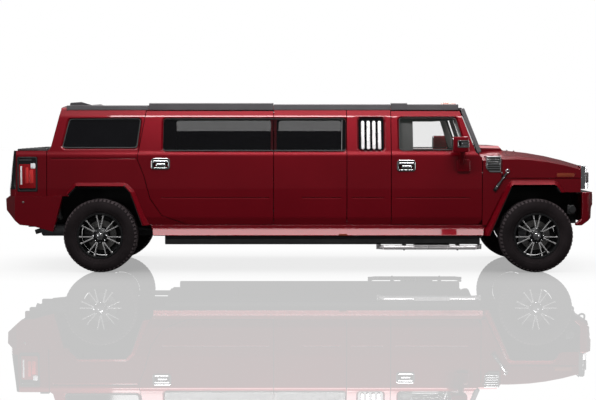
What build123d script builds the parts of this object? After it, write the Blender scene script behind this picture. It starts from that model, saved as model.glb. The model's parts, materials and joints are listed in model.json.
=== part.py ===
"""Stretch limousine with a short covered load deck, as an assembly of named pieces (millimetres).

Frame: +X forward, +Y to the vehicle's left, +Z up. The origin is on the floor, midway between the bumpers.
"""
import math
import os

from build123d import *

# ---------------------------------------------------------------- driving dimensions
WHEELBASE = 5160.0
FRONT_OVERHANG = 740.0
REAR_OVERHANG = 1140.0
TRACK = 1740.0

TYRE_RADIUS = 436.0
TYRE_WIDTH = 304.0
BEAD_RADIUS = 262.0
STEER_AXIS_INSET = 80.0          # steering axis inboard of the wheel's centre plane

FRONT_AXLE = (WHEELBASE + REAR_OVERHANG - FRONT_OVERHANG) / 2
REAR_AXLE = FRONT_AXLE - WHEELBASE
NOSE = FRONT_AXLE + FRONT_OVERHANG
TAIL = REAR_AXLE - REAR_OVERHANG
HUB_HEIGHT = TYRE_RADIUS
WHEEL_Y = TRACK / 2

SEAM = 8.0                       # shut line between two panels
SEAT_GAP = 0.3                   # a piece lies this far from the piece that carries it
RUNNING_GAP = 0.5                # a shaft in its bore

# Body side, as half widths (Y) at heights (Z), from the door's foot up to the gutter.
FOOT_Y, FOOT_Z = 938.0, 562.0
LOWER_Y, LOWER_Z = 962.0, 652.0
WAIST_Y, WAIST_Z = 968.0, 1000.0
SHOULDER_Y, SHOULDER_Z = 948.0, 1385.0
BELT_Y, BELT_Z = 930.0, 1430.0
CANT_Y, CANT_Z = 812.0, 1848.0
GUTTER_Y, GUTTER_Z = 775.0, 1919.0
WALL = 80.0                      # whole thickness of a door or a side wall
FLARE_Y = 1031.0                 # lip of the wheel arches and the sills

# Stations along the body, each from the axle that it belongs to.
COWL = FRONT_AXLE - 643.0        # front edge of the front doors
FRONT_DOOR_LENGTH = 1074.0
VENT_PANEL_LENGTH = 525.0
DOOR_REAR_START = REAR_AXLE + 2051.0
CABIN_REAR_TOP = REAR_AXLE - 484.0
CABIN_REAR_BELT = REAR_AXLE - 587.0
DECK_SEAM = REAR_AXLE - 622.0
DECK_END = TAIL + 105.0
FRONT_DOOR_END = COWL - FRONT_DOOR_LENGTH
VENT_PANEL_END = FRONT_DOOR_END - VENT_PANEL_LENGTH

CREASE_TOP = 892.0               # groove along the lower body side
CREASE_HEIGHT = 38.0
CREASE_DEPTH = 12.0
CREASE_END = 54.0

WINDOW_BOTTOM = 1446.0
WINDOW_TOP = 1836.0
WINDOW_RADIUS = 40.0
REVEAL = 22.0                    # sloping edge round a window
GLASS = 5.0
GLASS_DEPTH = 24.0               # outer face of the glass below the body side

# Front end
FENDER_FLOOR = 952.0
HOOD_LINE = 1117.0               # hood's lower edge, above the arches
HOOD_SEAM = FRONT_AXLE - 413.0   # hood's rear edge at the sides
NOSE_FACE = FRONT_AXLE + 522.0   # hood's front edge
HOOD_Y = 962.0
HOOD_SHELL = 30.0
COWL_HALF = 600.0                # half width of the hood's rear tongue

# Floor and frame
FLOOR_Z = 618.0
FLOOR_THICKNESS = 30.0
RAIL_Y = 385.0
RAIL_WIDTH = 90.0
RAIL_BOTTOM = 500.0
RAIL_TOP = 615.0
TUB_HALF = FOOT_Y - WALL - 8


# ---------------------------------------------------------------- helpers
CORNER_RUNS = 3                  # straight runs in a rounded corner
TUBE_SIDES = 12
TYRE_SIDES = 40
HUB_SIDES = 14


def rounded(outline, radius):
    """Closed outline of 2-D points with each corner rounded in a few straight runs, by one radius or a list."""
    radii = radius if isinstance(radius, (list, tuple)) else [radius] * len(outline)
    points = []
    for index, corner_radius in enumerate(radii):
        before, corner, after = [Vector(*outline[(index + step) % len(outline)]) for step in (-1, 0, 1)]
        if corner_radius == 0:
            points.append((corner.X, corner.Y))
            continue
        back, ahead = (before - corner).normalized(), (after - corner).normalized()
        half = math.acos(max(-1.0, min(1.0, back.dot(ahead)))) / 2
        centre = corner + (back + ahead).normalized() * (corner_radius / math.sin(half))
        start = corner + back * (corner_radius / math.tan(half))
        end = corner + ahead * (corner_radius / math.tan(half))
        first = math.atan2(start.Y - centre.Y, start.X - centre.X)
        turn = math.remainder(math.atan2(end.Y - centre.Y, end.X - centre.X) - first, 2 * math.pi)
        for run in range(CORNER_RUNS + 1):
            angle = first + turn * run / CORNER_RUNS
            points.append((centre.X + corner_radius * math.cos(angle), centre.Y + corner_radius * math.sin(angle)))
    return points


def face_xz(outline, y, radius=0.0):
    """Closed outline of (x, z) points at one Y, with one radius or a list of radii for its corners."""
    return make_face(Polyline(*[(x, y, z) for x, z in rounded(outline, radius)], close=True))


def slab(outline, y_from, y_to, radius=0.0):
    """Plate with an outline of (x, z) points, from one Y to another."""
    return extrude(face_xz(outline, y_from, radius), amount=y_to - y_from, dir=(0, 1, 0))


def bar_x(section, x_from, x_to):
    """Bar along X with a section of (y, z) points."""
    face = make_face(Polyline(*[(x_from, y, z) for y, z in section], close=True))
    return extrude(face, amount=x_to - x_from, dir=(1, 0, 0))


def block(x_from, x_to, y_from, y_to, z_from, z_to):
    """Box between two corners."""
    centre = Pos((x_from + x_to) / 2, (y_from + y_to) / 2, (z_from + z_to) / 2)
    return centre * Box(x_to - x_from, y_to - y_from, z_to - z_from)


def pin(start, end, radius):
    """Truly round bar from one point to another, for shafts, pins and their bores."""
    run = Vector(*end) - Vector(*start)
    return extrude(Plane(origin=start, z_dir=run) * Circle(radius), amount=run.length)


def rod(start, end, radius, sides=TUBE_SIDES):
    """Many-sided bar from one point to another, for tubes that nothing turns in."""
    run = Vector(*end) - Vector(*start)
    return extrude(Plane(origin=start, z_dir=run) * RegularPolygon(radius, sides, major_radius=False), amount=run.length)


def ring(section, sides):
    """Many-sided ring about the Y axis from a closed section of (y, radius) points; its flats are tangent."""
    grow = 1 / math.cos(math.pi / sides)
    spokes = [-math.pi / 2 + math.pi / sides + 2 * math.pi * index / sides for index in range(sides)]
    rows = [
        [(radius * grow * math.cos(angle), y, radius * grow * math.sin(angle)) for y, radius in section]
        for angle in spokes
    ]
    faces = []
    for here, ahead in zip(rows, rows[1:] + rows[:1]):
        for index in range(len(section)):
            step = (index + 1) % len(section)
            faces.append(make_face(Polyline(here[index], here[step], ahead[step], ahead[index], close=True)).face())
    return Solid(Shell(faces))


def both(shape):
    """The right-hand and the left-hand copy of a piece made on the left."""
    return [shape, mirror(shape, about=Plane.XZ)]


def save(node, *shapes):
    """Write the solids of one node to its STEP file."""
    solids = [solid for shape in shapes for solid in shape.solids()]
    export_step(solids[0] if len(solids) == 1 else Compound(solids), f"parts/{node}.step")


# ---------------------------------------------------------------- body side
def side_points(x, inset):
    """Points of the body side's section at one X, moved inwards by inset."""
    foot, lower, waist, shoulder, belt, cant, gutter = [
        (x, y - inset, z)
        for y, z in (
            (FOOT_Y, FOOT_Z), (LOWER_Y, LOWER_Z), (WAIST_Y, WAIST_Z), (SHOULDER_Y, SHOULDER_Z),
            (BELT_Y, BELT_Z), (CANT_Y, CANT_Z), (GUTTER_Y, GUTTER_Z),
        )
    ]
    return [foot, lower, waist, shoulder, belt, cant, gutter]


def side_wall(x_from, x_to, near=0.0, far=WALL):
    """Left side wall of the cabin from foot to gutter, between two depths below its outer face."""
    outline = side_points(x_from, near) + side_points(x_from, far)[::-1]
    return extrude(make_face(Polyline(*outline, close=True)), amount=x_to - x_from, dir=(1, 0, 0))


def on_window_plane(outline, depth=0.0):
    """Points of (x, z) carried to the plane of the side windows, depth below the body side."""
    lean = (BELT_Y - CANT_Y) / (CANT_Z - BELT_Z)
    normal = WINDOW_NORMAL
    return [
        Vector(x, BELT_Y - (z - BELT_Z) * lean, z) - normal * depth
        for x, z in outline
    ]


WINDOW_NORMAL = Vector(0, CANT_Z - BELT_Z, BELT_Y - CANT_Y).normalized()


def window_face(outline, depth, radius=WINDOW_RADIUS):
    """Window outline as a face at a depth below the body side."""
    return make_face(Polyline(*on_window_plane(rounded(outline, radius), depth), close=True))


def grown(outline, sides, low, high):
    """Four-sided outline with its sides, its low edge and its high edge moved outwards."""
    mid_x = sum(x for x, _ in outline) / len(outline)
    mid_z = sum(z for _, z in outline) / len(outline)
    return [
        (x - sides if x < mid_x else x + sides, z - low if z < mid_z else z + high)
        for x, z in outline
    ]


def window_cut(outline, through):
    """Cutter for a window: its glass bed with the sloping reveal, and the opening through the wall."""
    reveal = loft(
        [
            window_face(grown(outline, REVEAL, REVEAL, REVEAL / 2), -1.0, WINDOW_RADIUS + REVEAL / 2),
            window_face(outline, GLASS_DEPTH),
        ],
        ruled=True,
    )
    bed = extrude(window_face(outline, GLASS_DEPTH - 1.0), amount=GLASS + 1.0, dir=-WINDOW_NORMAL)
    opening = extrude(window_face(through, 0.0), amount=3 * WALL, dir=-WINDOW_NORMAL)
    return reveal + bed + opening


def window_glass(outline):
    """Pane that fills a window's bed with the seat gap all round."""
    pane = grown(outline, -SEAT_GAP, -SEAT_GAP, -SEAT_GAP)
    return extrude(window_face(pane, GLASS_DEPTH), amount=GLASS - SEAT_GAP, dir=-WINDOW_NORMAL)


def crease_cut(x_from, x_to, top=CREASE_TOP, skin=WAIST_Y):
    """Groove along the body side: a steep upper face and a sloping lower one."""
    section = [(skin + 5, top + 4), (skin - CREASE_DEPTH, top - 4), (skin + 5, top - CREASE_HEIGHT)]
    return bar_x(section, x_from, x_to)


# ---------------------------------------------------------------- outlines on the side, as (x, z)
DOOR_FLOOR = FOOT_Z + 4.0
DOOR_HEAD = GUTTER_Z - 5.0
PILLAR_FOOT = COWL - 71.0
PILLAR_HEAD = COWL - 247.0
PILLAR_TOP_Z = 1904.0

FRONT_DOOR = [
    (FRONT_DOOR_END, DOOR_FLOOR), (COWL - 40, DOOR_FLOOR), (COWL, DOOR_FLOOR + 60), (COWL, 1362),
    (PILLAR_FOOT, 1424), (PILLAR_HEAD, PILLAR_TOP_Z), (PILLAR_HEAD - 8, DOOR_HEAD), (FRONT_DOOR_END, DOOR_HEAD),
]
FRONT_WINDOW = [
    (FRONT_DOOR_END + 96, WINDOW_BOTTOM), (COWL - 186, WINDOW_BOTTOM),
    (COWL - 303, WINDOW_TOP), (FRONT_DOOR_END + 96, WINDOW_TOP),
]
PANEL_FOOT = FOOT_Z - SEAM / 2    # fixed panels sit on the sill and meet the roof
PANEL_HEAD = GUTTER_Z + SEAM / 2
VENT_PANEL = [
    (VENT_PANEL_END, PANEL_FOOT), (FRONT_DOOR_END, PANEL_FOOT), (FRONT_DOOR_END, PANEL_HEAD),
    (VENT_PANEL_END, PANEL_HEAD),
]
VENT_OPENING = [
    (VENT_PANEL_END + 138, WINDOW_BOTTOM), (FRONT_DOOR_END - 84, WINDOW_BOTTOM),
    (FRONT_DOOR_END - 84, WINDOW_TOP), (VENT_PANEL_END + 138, WINDOW_TOP),
]
MID_PANEL = [
    (DOOR_REAR_START, PANEL_FOOT), (VENT_PANEL_END, PANEL_FOOT), (VENT_PANEL_END, PANEL_HEAD),
    (DOOR_REAR_START, PANEL_HEAD),
]
MID_WINDOW = [
    (DOOR_REAR_START - 60, WINDOW_BOTTOM - 10), (VENT_PANEL_END - 10, WINDOW_BOTTOM - 10),
    (VENT_PANEL_END - 10, WINDOW_TOP - 10), (DOOR_REAR_START - 60, WINDOW_TOP - 10),
]
REAR_DOOR = [
    (DOOR_REAR_START, DOOR_FLOOR), (DOOR_REAR_START, DOOR_HEAD), (REAR_AXLE + 534, DOOR_HEAD),
    (REAR_AXLE + 440, 1345), (REAR_AXLE + 520, 1144), (REAR_AXLE + 590, 880), (REAR_AXLE + 729, 676),
    (REAR_AXLE + 1028, DOOR_FLOOR),
]
REAR_DOOR_WINDOW = [
    (REAR_AXLE + 741, WINDOW_BOTTOM - 10), (DOOR_REAR_START + 60, WINDOW_BOTTOM - 10),
    (DOOR_REAR_START + 60, WINDOW_TOP - 10), (REAR_AXLE + 741, WINDOW_TOP - 10),
]
QUARTER_WINDOW = [
    (REAR_AXLE - 457, 1470), (REAR_AXLE + 436, 1470), (REAR_AXLE + 475, 1827), (REAR_AXLE - 380, 1820),
]
WINDOW_LEDGE = 34.0              # frame behind the glass where a pane runs to a shut line

# Wheel arches: the flare rises from its outer outline on the body side to its inner outline at the lip.
FRONT_FLARE_OUTER = [
    (FRONT_AXLE - 647, 440), (FRONT_AXLE - 333, 1113), (FRONT_AXLE + 255, 1113), (FRONT_AXLE + 356, 952),
    (FRONT_AXLE + 356, 440),
]
FRONT_FLARE_INNER = [
    (FRONT_AXLE - 588, 440), (FRONT_AXLE - 306, 1042), (FRONT_AXLE + 222, 1042), (FRONT_AXLE + 284, 952),
    (FRONT_AXLE + 284, 440),
]
REAR_FLARE_OUTER = [
    (REAR_AXLE - 445, 440), (REAR_AXLE - 400, 960), (REAR_AXLE - 300, 1082), (REAR_AXLE + 320, 1082),
    (REAR_AXLE + 430, 985), (REAR_AXLE + 640, 440),
]
REAR_FLARE_INNER = [
    (REAR_AXLE - 420, 440), (REAR_AXLE - 372, 925), (REAR_AXLE - 275, 1030), (REAR_AXLE + 300, 1030),
    (REAR_AXLE + 372, 950), (REAR_AXLE + 572, 440),
]
FRONT_FLARE_RADII = [0, 90, 120, 0, 0]
REAR_FLARE_RADII = [0, 60, 60, 90, 90, 0]
FLARE_RADII_SHRINK = 0.7
LIP = 12.0
FLARE_FOOT = FOOT_Y - 8.0


def flare(outer, inner, radii):
    """Left wheel-arch flare as a solid hood, before its arch is opened."""
    inner_radii = [radius * FLARE_RADII_SHRINK for radius in radii]
    rise = loft([face_xz(outer, FLARE_FOOT, radii), face_xz(inner, FLARE_Y, inner_radii)], ruled=True)
    return rise + slab(outer, FLARE_FOOT - 45, FLARE_FOOT, radii)


def arch_cut(inner, radii):
    """Cutter that opens a wheel arch inside its lip."""
    mid_x = sum(x for x, _ in inner) / len(inner)
    outline = [(x + LIP if x < mid_x else x - LIP, z - (LIP if z > 900 else 60)) for x, z in inner]
    inner_radii = [radius * FLARE_RADII_SHRINK for radius in radii]
    return slab(outline, 200, FLARE_Y + 20, inner_radii)


# ---------------------------------------------------------------- wheels
SPOKE_PAIRS = 7
RIM_RADIUS = 271.0
BARREL_RADIUS = 250.0
RIM_FLANGE = 116.0               # inner face of the outer flange
SPOKE_TIP_RADIUS = 254.0
SPOKE_ROOT_RADIUS = 84.0
SPOKE_WIDTH = 15.0
SPOKE_DEPTH = 26.0
SPOKE_FACE = 106.0               # spokes' outer face, outboard of the wheel's centre plane
TIP_SPREAD = 9.5                 # half angle between a pair's tips
ROOT_SPREAD = 4.5
HUB_RADIUS = 92.0
HUB_BORE = 34.0
HUB_INNER = 20.0                 # hub's ring starts here, before its bore is made
DISC_RADIUS = 178.0
DISC_THICKNESS = 30.0
DISC_Y = -28.0                   # disc's centre plane, from the wheel's centre plane

# Tyre section as (distance from the centre plane, radius).
TYRE_SECTION = [
    (0.36 * TYRE_WIDTH, BEAD_RADIUS), (0.5 * TYRE_WIDTH, BEAD_RADIUS + 84), (0.455 * TYRE_WIDTH, TYRE_RADIUS - 24),
    (0.37 * TYRE_WIDTH, TYRE_RADIUS),
]


# Rim sections as (distance outboard of the centre plane, radius).
BARREL_SECTION = [
    (-110, BARREL_RADIUS), (-110, BEAD_RADIUS - SEAT_GAP), (RIM_FLANGE, BEAD_RADIUS - SEAT_GAP),
    (RIM_FLANGE, RIM_RADIUS), (RIM_FLANGE + 8, RIM_RADIUS), (RIM_FLANGE + 8, BARREL_RADIUS),
]
HUB_SECTION = [
    (-52, HUB_INNER), (-52, 76), (-14, 76), (48, HUB_RADIUS), (SPOKE_FACE - 18, HUB_RADIUS), (SPOKE_FACE, 62),
    (SPOKE_FACE + 22, 44), (SPOKE_FACE + 22, HUB_INNER),
]
DISC_SECTION = [
    (DISC_Y - DISC_THICKNESS / 2, 60), (DISC_Y - DISC_THICKNESS / 2, DISC_RADIUS),
    (DISC_Y + DISC_THICKNESS / 2, DISC_RADIUS), (DISC_Y + DISC_THICKNESS / 2, 60),
]


def tyre():
    """Tyre about the origin, with a section of straight runs."""
    right = [(-y, radius) for y, radius in TYRE_SECTION]
    return ring(TYRE_SECTION + right[::-1], TYRE_SIDES)


def spoke(middle, lean):
    """One slim spoke at an angle, leaning away from its pair's middle."""
    root = math.radians(middle + lean * ROOT_SPREAD)
    tip = math.radians(middle + lean * TIP_SPREAD)
    start = Vector(SPOKE_ROOT_RADIUS * math.cos(root), 0, SPOKE_ROOT_RADIUS * math.sin(root))
    end = Vector(SPOKE_TIP_RADIUS * math.cos(tip), 0, SPOKE_TIP_RADIUS * math.sin(tip))
    run = (end - start).normalized()
    across = Vector(run.Z, 0, -run.X) * (SPOKE_WIDTH / 2)
    outline = [(corner.X, corner.Z) for corner in (start + across, end + across, end - across, start - across)]
    return slab(outline, SPOKE_FACE - 4 - SPOKE_DEPTH, SPOKE_FACE - 4)


def rim():
    """Left rim about the origin: barrel, pairs of slim spokes, hub, brake disc and bore."""
    pieces = [ring(HUB_SECTION, HUB_SIDES), ring(DISC_SECTION, TUBE_SIDES * 2)]
    pieces.append(rod((0, 60, 0), (0, SPOKE_FACE + 22, 0), HUB_INNER + 10))
    for pair in range(SPOKE_PAIRS):
        for lean in (-1, 1):
            pieces.append(spoke(90 + 360 * pair / SPOKE_PAIRS, lean))
    return (ring(BARREL_SECTION, TYRE_SIDES) + pieces) - pin((0, -60, 0), (0, 60, 0), HUB_BORE)


# Wheels: name, axle's X, side (+1 left).
WHEELS = [
    ("front_right", FRONT_AXLE, -1), ("front_left", FRONT_AXLE, 1),
    ("rear_right", REAR_AXLE, -1), ("rear_left", REAR_AXLE, 1),
]
left_tyre, right_tyre = both(tyre())
left_rim, right_rim = both(rim())
for name, axle_x, side in WHEELS:
    place = Location((axle_x, side * WHEEL_Y, HUB_HEIGHT))
    save(f"tyre_{name}", (left_tyre if side > 0 else right_tyre).moved(place))
    save(f"rim_{name}", (left_rim if side > 0 else right_rim).moved(place))


# ---------------------------------------------------------------- knuckles and axles
STEER_Y = WHEEL_Y - STEER_AXIS_INSET
SPINDLE_RADIUS = HUB_BORE - RUNNING_GAP
SPINDLE_END = WHEEL_Y + 52.0
HUB_BACK = WHEEL_Y - 52.0
KNUCKLE_HALF = 140.0             # half height of the knuckle between its two arms
KINGPIN_RADIUS = 16.0
ARM_EYE = 34.0
ARM_THICKNESS = 26.0
CALIPER_GAP = 5.0


def caliper(axle_x):
    """Left brake caliper behind the axle, straddling the disc with a running gap."""
    disc_mid = WHEEL_Y + DISC_Y
    half = DISC_THICKNESS / 2 + CALIPER_GAP
    x_from, x_to = axle_x - DISC_RADIUS - 22, axle_x - DISC_RADIUS + 58
    body = block(x_from, x_to, disc_mid - half - 26, disc_mid + half + 22, HUB_HEIGHT - 85, HUB_HEIGHT + 85)
    slot = block(x_from + 14, x_to + 5, disc_mid - half, disc_mid + half, HUB_HEIGHT - 90, HUB_HEIGHT + 90)
    return body - slot


def knuckle():
    """Left steering knuckle: upright, kingpins, spindle and caliper."""
    bottom, top = HUB_HEIGHT - KNUCKLE_HALF, HUB_HEIGHT + KNUCKLE_HALF
    upright = block(FRONT_AXLE - 38, FRONT_AXLE + 38, STEER_Y - 24, STEER_Y + 22, bottom, top)
    pins = pin(
        (FRONT_AXLE, STEER_Y, bottom - ARM_THICKNESS - 2), (FRONT_AXLE, STEER_Y, top + ARM_THICKNESS + 2),
        KINGPIN_RADIUS,
    )
    spindle = pin((FRONT_AXLE, STEER_Y, HUB_HEIGHT), (FRONT_AXLE, SPINDLE_END, HUB_HEIGHT), SPINDLE_RADIUS)
    arm = block(FRONT_AXLE - 170, FRONT_AXLE - 30, STEER_Y - 24, STEER_Y + 12, HUB_HEIGHT - 60, HUB_HEIGHT + 60)
    return upright + pins + spindle + arm + caliper(FRONT_AXLE)


left_knuckle, right_knuckle = both(knuckle())
save("knuckle_left", left_knuckle)
save("knuckle_right", right_knuckle)


RAIL_OUTER = RAIL_Y + RAIL_WIDTH / 2 + SEAT_GAP


def suspension_arm(level):
    """Left wishbone at one height, with the kingpin's eye at its tip."""
    outline = [
        (FRONT_AXLE - 190, RAIL_OUTER), (FRONT_AXLE + 190, RAIL_OUTER), (FRONT_AXLE + 40, STEER_Y - 30),
        (FRONT_AXLE - 40, STEER_Y - 30),
    ]
    points = [(x, y, level) for x, y in outline]
    plate = extrude(make_face(Polyline(*points, close=True)), amount=ARM_THICKNESS, dir=(0, 0, 1))
    window = [
        (FRONT_AXLE - 120, 450, level), (FRONT_AXLE + 120, 450, level), (FRONT_AXLE + 45, 640, level),
        (FRONT_AXLE - 45, 640, level),
    ]
    plate -= extrude(make_face(Polyline(*window, close=True)), amount=ARM_THICKNESS, dir=(0, 0, 1))
    plate += rod((FRONT_AXLE, STEER_Y, level), (FRONT_AXLE, STEER_Y, level + ARM_THICKNESS), ARM_EYE)
    return plate - pin(
        (FRONT_AXLE, STEER_Y, level - 1), (FRONT_AXLE, STEER_Y, level + ARM_THICKNESS + 1),
        KINGPIN_RADIUS + RUNNING_GAP,
    )


LOWER_ARM = HUB_HEIGHT - KNUCKLE_HALF - ARM_THICKNESS - RUNNING_GAP
UPPER_ARM = HUB_HEIGHT + KNUCKLE_HALF + RUNNING_GAP
carrier_front = rod((FRONT_AXLE - 150, 0, HUB_HEIGHT), (FRONT_AXLE + 150, 0, HUB_HEIGHT), 110)
half_shaft = rod((FRONT_AXLE, -STEER_Y + 60, HUB_HEIGHT), (FRONT_AXLE, STEER_Y - 60, HUB_HEIGHT), 24)
cross_beam = block(FRONT_AXLE - 190, FRONT_AXLE + 190, -440, 440, LOWER_ARM, LOWER_ARM + ARM_THICKNESS)
hangers = block(FRONT_AXLE - 190, FRONT_AXLE + 190, 345, 425, LOWER_ARM, RAIL_BOTTOM - SEAT_GAP)
hangers -= block(FRONT_AXLE - 60, FRONT_AXLE + 60, 340, 430, LOWER_ARM + ARM_THICKNESS + 40, RAIL_BOTTOM)
front_suspension = carrier_front + half_shaft + cross_beam
for piece in both(hangers) + both(suspension_arm(LOWER_ARM)):
    front_suspension += piece
upper_arms = [
    arm + mount
    for arm, mount in zip(
        both(suspension_arm(UPPER_ARM)),
        both(block(FRONT_AXLE - 190, FRONT_AXLE + 190, RAIL_OUTER, 450, UPPER_ARM - 50, UPPER_ARM + ARM_THICKNESS)),
    )
]
front_suspension += rod((FRONT_AXLE, 0, LOWER_ARM + 5), (FRONT_AXLE, 0, HUB_HEIGHT), 40)
save("front_suspension", front_suspension, *upper_arms)

rear_tube = rod((REAR_AXLE, -HUB_BACK + 6, HUB_HEIGHT), (REAR_AXLE, HUB_BACK - 6, HUB_HEIGHT), 44)
for side in (-1, 1):
    rear_tube += pin((REAR_AXLE, side * (HUB_BACK - 10), HUB_HEIGHT), (REAR_AXLE, side * SPINDLE_END, HUB_HEIGHT), SPINDLE_RADIUS)
rear_tube += rod((REAR_AXLE - 130, 60, HUB_HEIGHT), (REAR_AXLE + 170, 60, HUB_HEIGHT), 130)
for piece in both(caliper(REAR_AXLE)):
    rear_tube += piece
for piece in both(block(REAR_AXLE - 160, REAR_AXLE, HUB_BACK - 30, HUB_BACK - 10, HUB_HEIGHT - 40, HUB_HEIGHT + 40)):
    rear_tube += piece
LINK_LENGTH = 760.0
for piece in both(block(REAR_AXLE, REAR_AXLE + LINK_LENGTH, 500, 550, HUB_HEIGHT - 30, HUB_HEIGHT + 30)):
    rear_tube += piece
for piece in both(
    block(REAR_AXLE + LINK_LENGTH - 60, REAR_AXLE + LINK_LENGTH, RAIL_OUTER, 550, HUB_HEIGHT - 30, RAIL_TOP - 20)
):
    rear_tube += piece
save("rear_axle", rear_tube)


# ---------------------------------------------------------------- chassis and what it carries
FRAME_FRONT = NOSE - 250.0
FRAME_REAR = TAIL + 180.0 + SEAT_GAP
CROSS_BOTTOM = 545.0
OUTRIGGER_END = 822.0
OUTRIGGERS = (-1250, -300, 650, 1540)
chassis = Part()
for side in (-1, 1):
    chassis += block(
        FRAME_REAR, FRAME_FRONT, side * RAIL_Y - RAIL_WIDTH / 2, side * RAIL_Y + RAIL_WIDTH / 2, RAIL_BOTTOM, RAIL_TOP,
    )
for x in (FRAME_REAR, REAR_AXLE - 420, REAR_AXLE + 620, FRAME_FRONT - 90):
    chassis += block(x, x + 90, -RAIL_Y, RAIL_Y, CROSS_BOTTOM, RAIL_TOP - 15)
for x in OUTRIGGERS:
    chassis += block(x, x + 70, -OUTRIGGER_END, OUTRIGGER_END, CROSS_BOTTOM, RAIL_TOP - 15)
RADIATOR_TOP = 1190.0
GRILLE_BACK = NOSE_FACE + 6
BUMPER_INNER = NOSE_FACE + 60
for side in (-1, 1):
    rail_from, rail_to = side * RAIL_Y - RAIL_WIDTH / 2, side * RAIL_Y + RAIL_WIDTH / 2
    chassis += block(FRAME_FRONT - 90, BUMPER_INNER - SEAT_GAP, rail_from, rail_to, CROSS_BOTTOM, 700)
    chassis += block(GRILLE_BACK - 46, GRILLE_BACK - SEAT_GAP, rail_from + 20, rail_to - 20, RAIL_TOP, RADIATOR_TOP)
chassis += block(GRILLE_BACK - 46, GRILLE_BACK - SEAT_GAP, -TUB_HALF - 40, TUB_HALF + 40, 930, 1000)
save("chassis", chassis)

ENGINE_TOP = 1120.0
powertrain = block(FRONT_AXLE - 330, FRONT_AXLE + 380, -300, 300, 640, ENGINE_TOP)
powertrain += block(FRONT_AXLE - 1150, FRONT_AXLE - 330, -170, 170, 470, RAIL_TOP - 5)
powertrain += block(FRONT_AXLE - 400, FRONT_AXLE - 260, -170, 170, 570, 700)
SHAFT_END = FRONT_AXLE - 1140
powertrain += rod((REAR_AXLE + 172, 60, HUB_HEIGHT + 14), (SHAFT_END, 60, 500), 36)
powertrain += rod((FRONT_AXLE - 1100, -110, 500), (FRONT_AXLE - 154, -40, HUB_HEIGHT + 10), 28)
for piece in both(block(FRONT_AXLE - 60, FRONT_AXLE + 60, 290, RAIL_Y + 20, RAIL_TOP + SEAT_GAP, 700)):
    powertrain += piece
save("powertrain", powertrain)

exhaust = rod((FRONT_AXLE - 500, -250, 450), (REAR_AXLE + 700, -250, 450), 38)
exhaust += rod((-400, -250, 450), (300, -250, 450), 80)
for x in OUTRIGGERS[1:3]:
    exhaust += block(x + 20, x + 50, -262, -238, 450, CROSS_BOTTOM - SEAT_GAP)
save("exhaust", exhaust)

fuel_tank = chamfer(block(REAR_AXLE + 740, REAR_AXLE + 1540, 120, 320, 330, CROSS_BOTTOM - 22).edges().filter_by(Axis.X), 30)
for x in (OUTRIGGERS[0], REAR_AXLE + 780):
    fuel_tank += block(x + 10, x + 50, 200, 240, 480, (CROSS_BOTTOM if x == OUTRIGGERS[0] else FLOOR_Z) - SEAT_GAP)
save("fuel_tank", fuel_tank)


# ---------------------------------------------------------------- floor tub
FLOOR_TOP = FLOOR_Z + FLOOR_THICKNESS
HOUSING_TOP = 985.0
FIREWALL = COWL - 20.0
TUNNEL_LINER = 505.0             # inner wall of the front wheel arches


def rear_housing():
    """Left rear wheel housing: a box open below and outwards."""
    x_from, x_to = REAR_AXLE - 520, REAR_AXLE + 620
    shell = block(x_from, x_to, 640, 876, FLOOR_TOP - 10, HOUSING_TOP + 30)
    return shell - block(x_from + 30, x_to - 30, 670, 880, FLOOR_Z - 10, HOUSING_TOP)


TUB_REAR = TAIL + 190.0
tub = block(TUB_REAR, FIREWALL, -TUB_HALF, TUB_HALF, FLOOR_Z, FLOOR_TOP)
for piece in both(block(REAR_AXLE - 490, REAR_AXLE + 590, 670, 900, FLOOR_Z - 5, FLOOR_TOP + 5)):
    tub -= piece
for piece in both(rear_housing()):
    tub += piece
COWL_TOP = 1405.0
tub += block(FIREWALL - 30, FIREWALL, -TUB_HALF, TUB_HALF, FLOOR_Z, COWL_TOP)
tub += block(FIREWALL - 30, COWL + 60, -590, 590, 1300, 1330)
for side in (-1, 1):
    liner = block(FIREWALL, NOSE_FACE - 40, min(side * TUNNEL_LINER, side * 485), max(side * TUNNEL_LINER, side * 485),
                  RAIL_TOP + 5, 1075)
    roof_liner = block(FIREWALL, NOSE_FACE - 40, min(side * 485, side * 880), max(side * 485, side * 880), 1055, 1075)
    tub += liner + roof_liner
save("floor_tub", tub)


# ---------------------------------------------------------------- side panels, doors and their glass
def shut_region(outline, gap):
    """Outline as a thick prism through the side wall, moved outwards by gap."""
    face = face_xz(outline, 500)
    if gap:
        face = offset(face, amount=gap, kind=Kind.INTERSECTION)
    return extrude(face, amount=700, dir=(0, 1, 0))


def panel(outline, creases=(), gap=-SEAM / 2):
    """Left body panel: the side wall inside its shut lines, with its lower grooves."""
    xs = [x for x, _ in outline]
    shape = side_wall(min(xs) - 10, max(xs) + 10) & shut_region(outline, gap)
    for x_from, x_to in creases:
        shape -= crease_cut(x_from, x_to)
    return shape


DOOR_SKIN = 26.0                 # depth of a door's edge flange
DOOR_STEP = 34.0                 # a door's inner part stops this far ahead of its rear edge


def door(outline, creases):
    """Left door: its skin inside the shut lines and a thick inner part that stops short at the rear."""
    shape = panel(outline, creases)
    rear_strip = panel([(x + DOOR_STEP, z) for x, z in outline])
    flange = side_wall(outline[0][0] - 3000, outline[0][0] + 3000, -5.0, DOOR_SKIN)
    return (shape & rear_strip) + (shape & flange)


def handle_pocket(x, z):
    """Cutter for the hand space behind a door handle."""
    return slab([(x - 88, z - 46), (x + 88, z - 46), (x + 88, z + 46), (x - 88, z + 46)], WAIST_Y - 46, WAIST_Y + 9, 20)


FRONT_HANDLE = (FRONT_DOOR_END + 175, 1264)
REAR_HANDLE = (REAR_AXLE + 719, 1287)
DOOR_REAR_EDGE = REAR_AXLE + 590

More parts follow.
